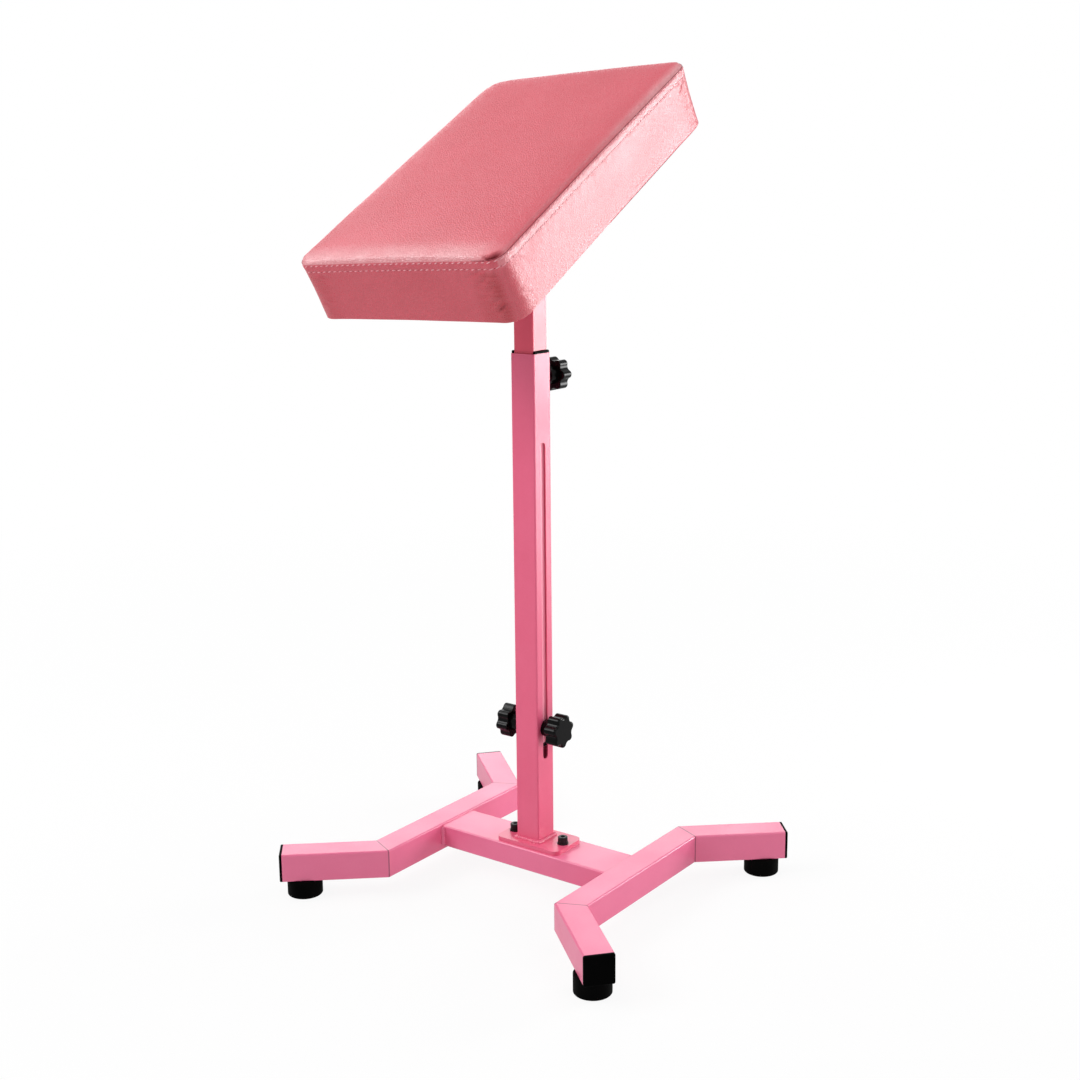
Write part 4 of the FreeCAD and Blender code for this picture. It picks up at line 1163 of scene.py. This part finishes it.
# Seam groove, sewn band, gathers, creases and soft waves, each along the surface normal, and hem pleats.
def finishCushionSurface(pad):
    top = cushion["seamHeight"]
    normals = [vert.normal.copy() for vert in pad.data.vertices]
    for mark in padMarks:
        pad.data.attributes.new(mark, "FLOAT", "POINT")
    folds, puckers, stretchSheenValues, reliefs = (pad.data.attributes[mark].data for mark in padMarks)
    for vert, normal in zip(pad.data.vertices, normals):
        place = vert.co.copy()
        inset = seamDistance(place.x, place.y)
        below = top - place.z
        shift = 0.0
        shade = 0.0
        if place.z < cushion["hemLow"] + skinForms["hemReach"] and inset > skinForms["hemInset"]:
            vert.co = place + Vector((0, 0, -hemPleat(place, inset)))
            continue
        flat, upright = skinForms["waveScale"]
        shift += skinForms["wave"] * noiseAt(place.x * flat, place.y * flat, place.z * upright)
        if inset > skinForms["topInset"] and place.z > top - skinForms["topReach"]:
            seamGap = inset
            place.z += fullCrown(inset) - blankCrown(inset) + edgeBulge(place, inset)
            flat = skinForms["topGatherScale"]
            gather = noiseAt(place.x * flat, place.y * flat, 3.0)
            shift += skinForms["topGather"] * gather * math.exp(-inset / skinForms["topGatherReach"])
            for corner, first, last, line, width, depth, darkness in cornerFolds:
                within = foldCloseness(place, inset, corner, first, last, line, width)
                shift -= depth * within
                shade = max(shade, darkness * within)
        else:
            seamGap = max(below, 0.0)
            side, along = sideOf(place)
            closeness = cornerCloseness(place)
            flat, upright = skinForms["lumpScale"]
            plain, added = skinForms["lumps"]
            lumpy = plain + added * noiseAt(along * flat, place.z * upright, 1.0)
            short = side in ("front", "back")
            gathered = sideGathers(place) if short else skinForms["longSideGather"] * closeness ** 2
            # The pucker value bumps the leather and also sets its painted shade in the gathers.
            puckers[vert.index].value = gathered * lumpy * smoothStep(below, *skinForms["puckerStart"])
            past = smoothStep(below, skinForms["bandEnd"], cushion["bandDepth"])
            band = smoothStep(below, *skinForms["bandStart"]) * (1 - past)
            shift += cushion["bandPuff"] * band
            for depth in cushion["rowDepths"]:
                shift -= skinForms["rowGroove"] * hill(below - depth, skinForms["rowWidth"])
            flat, upright = skinForms["gatherScale"]
            gather = noiseAt(place.x * flat, place.y * flat, place.z * upright)
            reach = math.exp(-max(below - skinForms["gatherStart"], 0.0) / skinForms["gatherReach"])
            shift += (skinForms["sideGather"] + skinForms["cornerGather"] * closeness) * gather * reach
            sunk = creaseDepth(side, along, place.z)
            shift -= sunk
            shade = max(shade, skinForms["creaseShade"] * smoothStep(sunk, *skinForms["creaseLimits"]))
            flat, upright = skinForms["fineFoldScale"]
            shift += skinForms["fineFold"] * closeness * noiseAt(along * flat, place.z * upright, 7.0)
        shift -= cushion["grooveDepth"] * hill(seamGap, cushion["grooveWidth"])
        # painted shade of the folds and creases, carried by the fold mark
        folds[vert.index].value = shade
        pale = stretchSheenShare(place, below)
        stretchSheenValues[vert.index].value = pale
        onTop = below < skinForms["topReach"]
        plainGrain = leather["topGrain"] if onTop else leather["sideGrain"]
        turning = 0.0 if onTop else cornerCloseness(place) ** 2
        reliefs[vert.index].value = plainGrain + leather["edgeGrain"] * max(pale, turning)
        fromCorner = math.hypot(place.x + cushion["width"] / 2, place.y - cushion["length"] / 2)
        pull = cushion["farLeftPull"] * hill(fromCorner, cushion["pullReach"])
        vert.co = place + normal * shift + Vector((pull, -pull, 0))
    pad.data.update()


# The foam swells along the middle of each edge and is held down at the corners.
def edgeBulge(place, inset):
    shareX, shareY = 2 * place.x / cushion["width"], 2 * place.y / cushion["length"]
    swelling = cushion["edgeBulge"] * (1 - math.exp(-inset / cushion["bulgeReach"]))
    return swelling * (1 - (shareX * shareY) ** 2)


# Shares of the paler tone, partly a painted sheen, along each edge of the top.
paleEdges = {
    # reach in from the seam, share at the near end, share at the far end
    "front": (0.030, 1.00, 1.00),
    "right": (0.013, 0.00, 0.90),
    "left": (0.012, 0.45, 0.35),
    "back": (0.012, 0.40, 0.40),
}
paleLook = {
    "lengthwise": (-0.06, 0.17),
    "patches": (0.85, 0.3),
    "patchScale": 60.0,
    "start": 0.001,
    "darkCorner": (0.119, -0.181),
    "darkReach": 0.016,
    "darkShare": 0.9,
    "cornerShare": 0.10,
    "cornerNear": (0.55, 0.95),
    "cornerDepth": (0.004, 0.014),
    "rightReach": 0.006,
    "rightShare": 0.55,
    "rightDepth": (0.006, 0.014),
}


# Where the leather is pulled over the foam's edges it is paler and its grain stands out; the paler colour is
# also a painted sheen on the rolled edges, the corner's turn and the top of the right side.
def stretchSheenShare(place, below):
    halfX, halfY = cushion["width"] / 2, cushion["length"] / 2
    gaps = {"front": place.y + halfY, "back": halfY - place.y}
    gaps.update({"left": place.x + halfX, "right": halfX - place.x})
    along = smoothStep(place.y, *paleLook["lengthwise"])
    plain, added = paleLook["patches"]
    scale = paleLook["patchScale"]
    patchy = plain + added * noiseAt(place.x * scale, place.y * scale, place.z * scale)
    largest = 0.0
    if below < skinForms["topReach"]:
        for side, (reach, near, far) in paleEdges.items():
            share = near + (far - near) * along
            largest = max(largest, share * (1 - smoothStep(gaps[side], paleLook["start"], reach)))
        darkX, darkY = paleLook["darkCorner"]
        fromDark = math.hypot(place.x - darkX, place.y - darkY)
        largest *= 1 - paleLook["darkShare"] * hill(fromDark, paleLook["darkReach"])
    else:
        turn = smoothStep(cornerCloseness(place), *paleLook["cornerNear"])
        largest = paleLook["cornerShare"] * turn * smoothStep(below, *paleLook["cornerDepth"])
        if gaps["right"] < paleLook["rightReach"]:
            upper = 1 - smoothStep(below, *paleLook["rightDepth"])
            largest = max(largest, paleLook["rightShare"] * upper)
    return largest * patchy


gatherEnds = {"rightFullness": 1.0, "leftFullness": 0.35, "turn": (0.004, 0.014), "fade": (0.016, 0.050)}


# Gathers of the short panels: fullest a finger's width before the corner, and none on the turn.
def sideGathers(place):
    fromEnd = cushion["width"] / 2 - abs(place.x)
    fullness = gatherEnds["rightFullness"] if place.x > 0 else gatherEnds["leftFullness"]
    turned = smoothStep(fromEnd, *gatherEnds["turn"])
    return fullness * turned * (1 - smoothStep(fromEnd, *gatherEnds["fade"]))


# 1 at a corner of the pad, falling to 0 where the distances from its two sides add up to 50 mm.
def cornerCloseness(place):
    gap = (cushion["width"] / 2 - abs(place.x)) + (cushion["length"] / 2 - abs(place.y))
    return 1 - smoothStep(gap, *cushion["cornerFade"])


# Evenly spaced places and outward directions round the pad, at a depth below the seam.
def seamPath(depth, count):
    halfX = cushion["width"] / 2 - cushion["seamInset"]
    halfY = cushion["length"] / 2 - cushion["seamInset"]
    corner = cushion["seamCorner"]
    flatX, flatY = halfX - corner, halfY - corner
    quarter = math.pi / 2 * corner
    runs = [(Vector((halfX, -flatY)), Vector((0, 1)), 2 * flatY), (Vector((flatX, flatY)), 0, quarter),
            (Vector((flatX, halfY)), Vector((-1, 0)), 2 * flatX), (Vector((-flatX, flatY)), 1, quarter),
            (Vector((-halfX, flatY)), Vector((0, -1)), 2 * flatY), (Vector((-flatX, -flatY)), 2, quarter),
            (Vector((-flatX, -halfY)), Vector((1, 0)), 2 * flatX), (Vector((flatX, -flatY)), 3, quarter)]
    total = sum(run[2] for run in runs)
    places = []
    for index in range(count):
        left = total * index / count
        for start, kind, length in runs:
            if left > length:
                left -= length
                continue
            if isinstance(kind, int):
                angle = math.pi / 2 * kind + left / corner
                outward = Vector((math.cos(angle), math.sin(angle)))
                spot = start + outward * corner
            else:
                outward = Vector((kind.y, -kind.x))
                spot = start + kind * left
            places.append((Vector((*spot, cushion["seamHeight"] - depth)), Vector((*outward, 0))))
            break
    return places


stitching = {
    "pitch": 0.0070,
    "length": 0.0048,
    "thread": 0.00046,
    "holeRadius": 0.00062,
    "rowHoles": (0.38, 0.80),
    "holeShape": (1.25, 1.0, 0.35),
    "holeSink": 0.00005,
    "slant": 0.24,
    "slantChance": 0.09,
    "sizeChance": (0.94, 1.06),
    "lift": 0.00012,
    "thinning": 0.35,
    "dip": 0.0008,
    "castFrom": 0.02,
    "seed": 11,
}


def addStitchModel():
    clearPicks()
    bpy.ops.mesh.primitive_cylinder_add(vertices=7, radius=stitching["thread"], depth=stitching["length"],
                                        rotation=(0, math.pi / 2, 0))
    stitch = bpy.context.object
    bpy.ops.object.transform_apply(location=False, rotation=True, scale=False)
    editMesh(stitch)
    pickElements(stitch, "EDGE", lambda edge: abs(edge.verts[0].co.x - edge.verts[1].co.x) > 0.001)
    bpy.ops.mesh.subdivide(number_cuts=4)
    mesh = bmesh.from_edit_mesh(stitch.data)
    half = stitching["length"] / 2
    for vert in mesh.verts:
        share = vert.co.x / half
        thinner = 1 - stitching["thinning"] * abs(share) ** 3
        vert.co.y *= thinner
        vert.co.z = vert.co.z * thinner - stitching["dip"] * abs(share) ** 2.6
    bmesh.update_edit_mesh(stitch.data)
    leaveEdit()
    return stitch


def addHoleModel():
    clearPicks()
    bpy.ops.mesh.primitive_uv_sphere_add(segments=7, ring_count=4, radius=stitching["holeRadius"])
    hole = bpy.context.object
    editMesh(hole)
    bpy.ops.mesh.select_all(action="SELECT")
    bpy.ops.transform.resize(value=stitching["holeShape"])
    leaveEdit()
    return hole


# Two sewn rows round the pad: threads with a needle hole between each two, each hole a small dark piece of
# painted shadow.
def addStitches(pad, thread, shadow):
    surface = BVHTree.FromPolygons([vert.co for vert in pad.data.vertices],
                                   [tuple(face.vertices) for face in pad.data.polygons])
    stitch, hole = addStitchModel(), addHoleModel()
    chance = random.Random(stitching["seed"])
    perimeter = 2 * (cushion["width"] + cushion["length"]) - 8 * cushion["seamCorner"] * (1 - math.pi / 4)
    count = round(perimeter / stitching["pitch"])
    for rowNumber, depth in enumerate(cushion["rowDepths"]):
        threads, holes = [], []
        path = seamPath(depth, count * 2)
        for index, (spot, outward) in enumerate(path):
            reach = stitching["castFrom"]
            hit, normal, *others = surface.ray_cast(spot + outward * reach, -outward, 2 * reach)
            if hit is None:
                continue
            along = Vector((0, 0, 1)).cross(outward)
            upward = (normal + outward).normalized()
            if index % 2:
                place = frameFrom(hit - upward * stitching["holeSink"], along, upward)
                holes.append(copyOf(hole, place @ Matrix.Scale(stitching["rowHoles"][rowNumber], 4)))
                continue
            slant = stitching["slant"] + within(chance, stitching["slantChance"])
            lean = Matrix.Rotation(slant, 4, "Z")
            size = Matrix.Scale(chance.uniform(*stitching["sizeChance"]), 4, (1, 0, 0))
            place = frameFrom(hit + upward * stitching["lift"], along, upward)
            threads.append(copyOf(stitch, place @ lean @ size))
        for pieces, name, material in ((threads, "seamThreadRow", thread), (holes, "needleHoles", shadow)):
            row = joinAll(pieces, name + str(rowNumber + 1))
            settle(row)
            finishPiece(row, material, "arm_rest", padRest)
    for model in (stitch, hole):
        bpy.data.objects.remove(model)
    print("stitches sewn:", count * 2)


seamLineLook = {
    "creasedOver": 0.7,
    "above": 0.09,
    "radius": 0.00024,
    "sunk": 0.0004,
    "frontReach": (0.004, 0.001),
    "rightEnd": (0.085, 0.110),
}


# Painted shadow: a dark line in the seam groove, drawn from the cushion's own seam edges. Along the front it
# lies deeper.
def addSeamLine(pad, material):
    mesh = editMesh(pad)
    crease = mesh.edges.layers.float.get("crease_edge")
    least, above = seamLineLook["creasedOver"], seamLineLook["above"]
    pickElements(pad, "EDGE", lambda edge: edge[crease] > least and edge.verts[0].co.z > above)
    bpy.ops.mesh.duplicate()
    before = set(bpy.data.objects)
    bpy.ops.mesh.separate(type="SELECTED")
    leaveEdit()
    line = next(obj for obj in bpy.data.objects if obj not in before)
    pickOnly(line)
    bpy.ops.object.convert(target="CURVE")
    line.data.bevel_depth = seamLineLook["radius"]
    line.data.bevel_resolution = 1
    bpy.ops.object.convert(target="MESH")
    line.name = "seamLine"
    halfY = cushion["length"] / 2 - cushion["seamInset"]
    farther, nearer = seamLineLook["frontReach"]
    for vert in line.data.vertices:
        onFront = smoothStep(-vert.co.y, halfY - farther, halfY - nearer)
        onFront *= 1 - smoothStep(vert.co.x, *seamLineLook["rightEnd"])
        vert.co.y += seamLineLook["sunk"] * onFront
    settle(line)
    bpy.ops.object.shade_smooth()
    finishPiece(line, material, "arm_rest", padRest)


# The soft pad sits a little askew on its board: pushed to the left and higher on the right.
# The hem is drawn back level and square as it turns in under the board.
def settle(piece):
    rise = cushion["seamHeight"] - cushion["hemLow"]
    for vert in piece.data.vertices:
        x, y, z = vert.co
        share = min(max((z - cushion["hemLow"]) / rise, 0.0), 1.0)
        lean = math.tan(math.radians(cushion["hemLean"] + (cushion["seamLean"] - cushion["hemLean"]) * share))
        far = smoothStep(y, cushion["farStart"], cushion["length"] / 2)
        lift = cushion["hemLift"] + cushion["farLift"] * far * (x / cushion["width"] + 0.5)
        raised = x * lean + lift * (1 - share)
        reach = cushion["farReach"] * (1 - share) * smoothStep(y, 0.0, cushion["length"] / 2)
        pushed = 1.0
        if z < cushion["liningTop"] + cushion["underReach"]:
            inset = outlineDistance(x, y, 0.0, cushion["hemCorner"])
            pushed = 1 - min(max(inset / cushion["liningMargin"], 0.0), 1.0)
        vert.co = Vector((x + cushion["shift"] * pushed, y + reach * pushed, z + raised * pushed))


smoothUnder = math.radians(50)        # faces that meet at less than this are shaded as one


def finishPiece(piece, material, body, place=None):
    if place is not None:
        piece.data.transform(place)
    piece.data.materials.clear()
    piece.data.materials.append(material)
    pickOnly(piece)
    bpy.ops.object.shade_smooth_by_angle(angle=smoothUnder)
    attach(piece, body)


def addCushion(skin, thread, shadow):
    pad = addCushionBlank()
    closeUnderside(pad)
    inflateCushion(pad)
    refineCushion(pad)
    finishCushionSurface(pad)
    addStitches(pad, thread, shadow)
    addSeamLine(pad, shadow)
    settle(pad)
    finishPiece(pad, skin, "arm_rest", padRest)
    pickOnly(pad)
    bpy.ops.object.shade_smooth()
    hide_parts("pad_cover", "pad_foam")
    print("cushion faces:", len(pad.data.polygons))


boardEdges = [
    {"axis": 0, "sign": 1, "beyond": 0.090, "move": (-0.0072, 0, 0)},
    {"axis": 0, "sign": -1, "beyond": 0.090, "move": (-0.0035, 0, 0)},
    {"axis": 1, "sign": 1, "beyond": 0.150, "move": (0, -0.0060, 0)},
    {"axis": 1, "sign": -1, "beyond": 0.150, "move": (0, 0.0050, 0)},
]


# The plywood follows the cushion to the left; its screw holes stay on the bracket's screws.
def addBoard(wood):
    source = frame["nodes"]["pad_board"]
    board = source.copy()
    board.data = source.data.copy()
    board.name = board.data.name = "padBoardPanel"
    bpy.context.scene.collection.objects.link(board)
    board.data.transform(padRest.inverted())
    editMesh(board)
    bpy.ops.mesh.select_all(action="SELECT")
    bpy.ops.mesh.remove_doubles(threshold=2 * tiny)
    for edge in boardEdges:
        pickElements(board, "VERT", lambda vert: vert.co[edge["axis"]] * edge["sign"] > edge["beyond"])
        bpy.ops.transform.translate(value=edge["move"])
    leaveEdit()
    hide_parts("pad_board")
    finishPiece(board, wood, "arm_rest", padRest)
    print("board fitted")


staple = {
    "width": 0.0100,
    "wire": 0.0012,
    "height": 0.0006,
    "bevel": 0.00028,
    "pitch": 0.028,
    "inset": 0.0150,
    "ends": 0.012,
    "low": 0.0332,
    "alongChance": 0.002,
    "acrossChance": 0.0007,
    "turnChance": 0.12,
    "seed": 4,
}


def addStaples(material):
    clearPicks()
    bpy.ops.mesh.primitive_cube_add(size=1.0, scale=(staple["width"], staple["wire"], staple["height"] * 2))
    model = bpy.context.object
    bpy.ops.object.transform_apply(location=False, rotation=False, scale=True)
    editMesh(model)
    bpy.ops.mesh.select_all(action="SELECT")
    bpy.ops.mesh.bevel(offset=staple["bevel"], segments=2, affect="EDGES")
    leaveEdit()
    halfX, halfY = cushion["width"] / 2 - staple["inset"], cushion["length"] / 2 - staple["inset"]
    chance = random.Random(staple["seed"])
    pieces = []
    ends = staple["ends"]
    for halfLength, halfGap, turned in ((halfX - ends, halfY, False), (halfY - ends, halfX, True)):
        steps = round(2 * halfLength / staple["pitch"])
        for side in (-1, 1):
            for index in range(steps + 1):
                along = -halfLength + 2 * halfLength * index / steps + within(chance, staple["alongChance"])
                across = side * (halfGap + within(chance, staple["acrossChance"]))
                spot = (across, along, staple["low"]) if turned else (along, across, staple["low"])
                turn = (math.pi / 2 if turned else 0.0) + within(chance, staple["turnChance"])
                pieces.append(copyOf(model, Matrix.Translation(spot) @ Matrix.Rotation(turn, 4, "Z")))
    bpy.data.objects.remove(model)
    row = joinAll(pieces, "liningStaples")
    settle(row)
    finishPiece(row, material, "arm_rest", padRest)
    print("staples:", len(pieces))


beadLook = {
    "pitch": 0.0026,
    "radius": 0.0030,
    "dropShape": (0.62, 1.05, 0.80),
    "waver": 0.0002,
    "sizeChance": (0.90, 1.06),
    "voxel": 0.00042,
    "seed": 5,
    "columnGap": 0.0006,        # the column's bead stands this far out from the tube and up from its foot
    "barGap": 0.0010,        # the frame's beads stand this far in from the bar's ends and out from its sides
    "barEnds": (0.0035, 0.0030),
}


# Overlapping flattened drops along each run, melted together by a remesh.
def addBead(name, runs, chance):
    drops = []
    clearPicks()
    bpy.ops.mesh.primitive_uv_sphere_add(segments=14, ring_count=8, radius=beadLook["radius"])
    model = bpy.context.object
    for start, end, outward in runs:
        start, end, outward = Vector(start), Vector(end), Vector(outward).normalized()
        count = max(round((end - start).length / beadLook["pitch"]), 2)
        for index in range(count + 1):
            spot = start.lerp(end, index / count)
            spot += outward * within(chance, beadLook["waver"])
            size = chance.uniform(*beadLook["sizeChance"])
            turn = frameFrom(spot, end - start, outward)
            shape = Matrix.Diagonal((*(side * size for side in beadLook["dropShape"]), 1.0))
            drops.append(copyOf(model, turn @ shape))
    bpy.data.objects.remove(model)
    bead = joinAll(drops, name)
    addModifier(bead, "REMESH", mode="VOXEL", voxel_size=beadLook["voxel"])
    addModifier(bead, "SMOOTH", factor=0.5, iterations=2)
    applyModifiers(bead)
    return bead


def addWelds(columnPaint, framePaint):
    chance = random.Random(beadLook["seed"])
    tubeLow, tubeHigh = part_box("outer_tube")
    edge = (tubeHigh.x - tubeLow.x) / 2 + beadLook["columnGap"]
    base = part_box("column_weld")[0].z + beadLook["columnGap"]
    corners = [(edge, -edge), (edge, edge), (-edge, edge), (-edge, -edge)]
    runs = []
    for index, (x, y) in enumerate(corners):
        nextX, nextY = corners[(index + 1) % 4]
        outward = Vector((x + nextX, y + nextY, 0)).normalized() + Vector((0, 0, 1))
        runs.append(((x, y, base), (nextX, nextY, base), outward))
    bead = addBead("columnWeldBead", runs, chance)
    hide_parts("column_weld")
    finishPiece(bead, columnPaint, "base")
    barLow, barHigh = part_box("crossbar")
    gap = beadLook["barGap"]
    lowEnd, highEnd = beadLook["barEnds"]
    runs = []
    for sideX in (-1, 1):
        for sideY in (-1, 1):
            x = barHigh.x * sideX - gap * sideX
            y = barHigh.y * sideY + gap * sideY
            runs.append(((x, y, barLow.z + lowEnd), (x, y, barHigh.z - highEnd), (-sideX, sideY, 0)))
    beads = addBead("frameWeldBeads", runs, chance)
    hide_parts("frame_welds")
    finishPiece(beads, framePaint, "base")
    print("welds laid")


def dressNodes(finishes):
    for row in frame["record"]["subparts"]:
        node = frame["nodes"][row["node"]]
        node.data.materials.clear()
        node.data.materials.append(finishes[row["material_slot"]])


finishes = {
    "pink_paint": powderCoatMaterial("framePaint", paints["frame"], mitreMask, mitreJoint),
    "column_paint": powderCoatMaterial("columnPaint", paints["column"]),
    "mast_paint": powderCoatMaterial("mastPaint", paints["mast"], slotPaintedLightMask, slotPaintedLight),
    "leather_pink": leatherMaterial(),
    "cap_plastic": plainMaterial("capPlastic"),
    "knob_plastic": plainMaterial("knobPlastic"),
    "foot_rubber": plainMaterial("footRubber"),
    "black_steel": plainMaterial("blackSteel"),
    "zinc_steel": plainMaterial("zincSteel"),
    "nylon": plainMaterial("nylonWhite"),
    "plywood": plywoodMaterial(),
    "lining_fabric": liningMaterial(),
    "foam": plainMaterial("seatFoam"),
}
dressNodes(finishes)
print("finishes placed:", len(finishes))

addCamera()
addLights()
addWorld()
addFloor()
addCushion(finishes["leather_pink"], plainMaterial("seamThread"), plainMaterial("seamShadow"))
addBoard(finishes["plywood"])
addStaples(finishes["zinc_steel"])
addWelds(finishes["column_paint"], finishes["pink_paint"])
bpy.context.scene.view_settings.view_transform = "Standard"
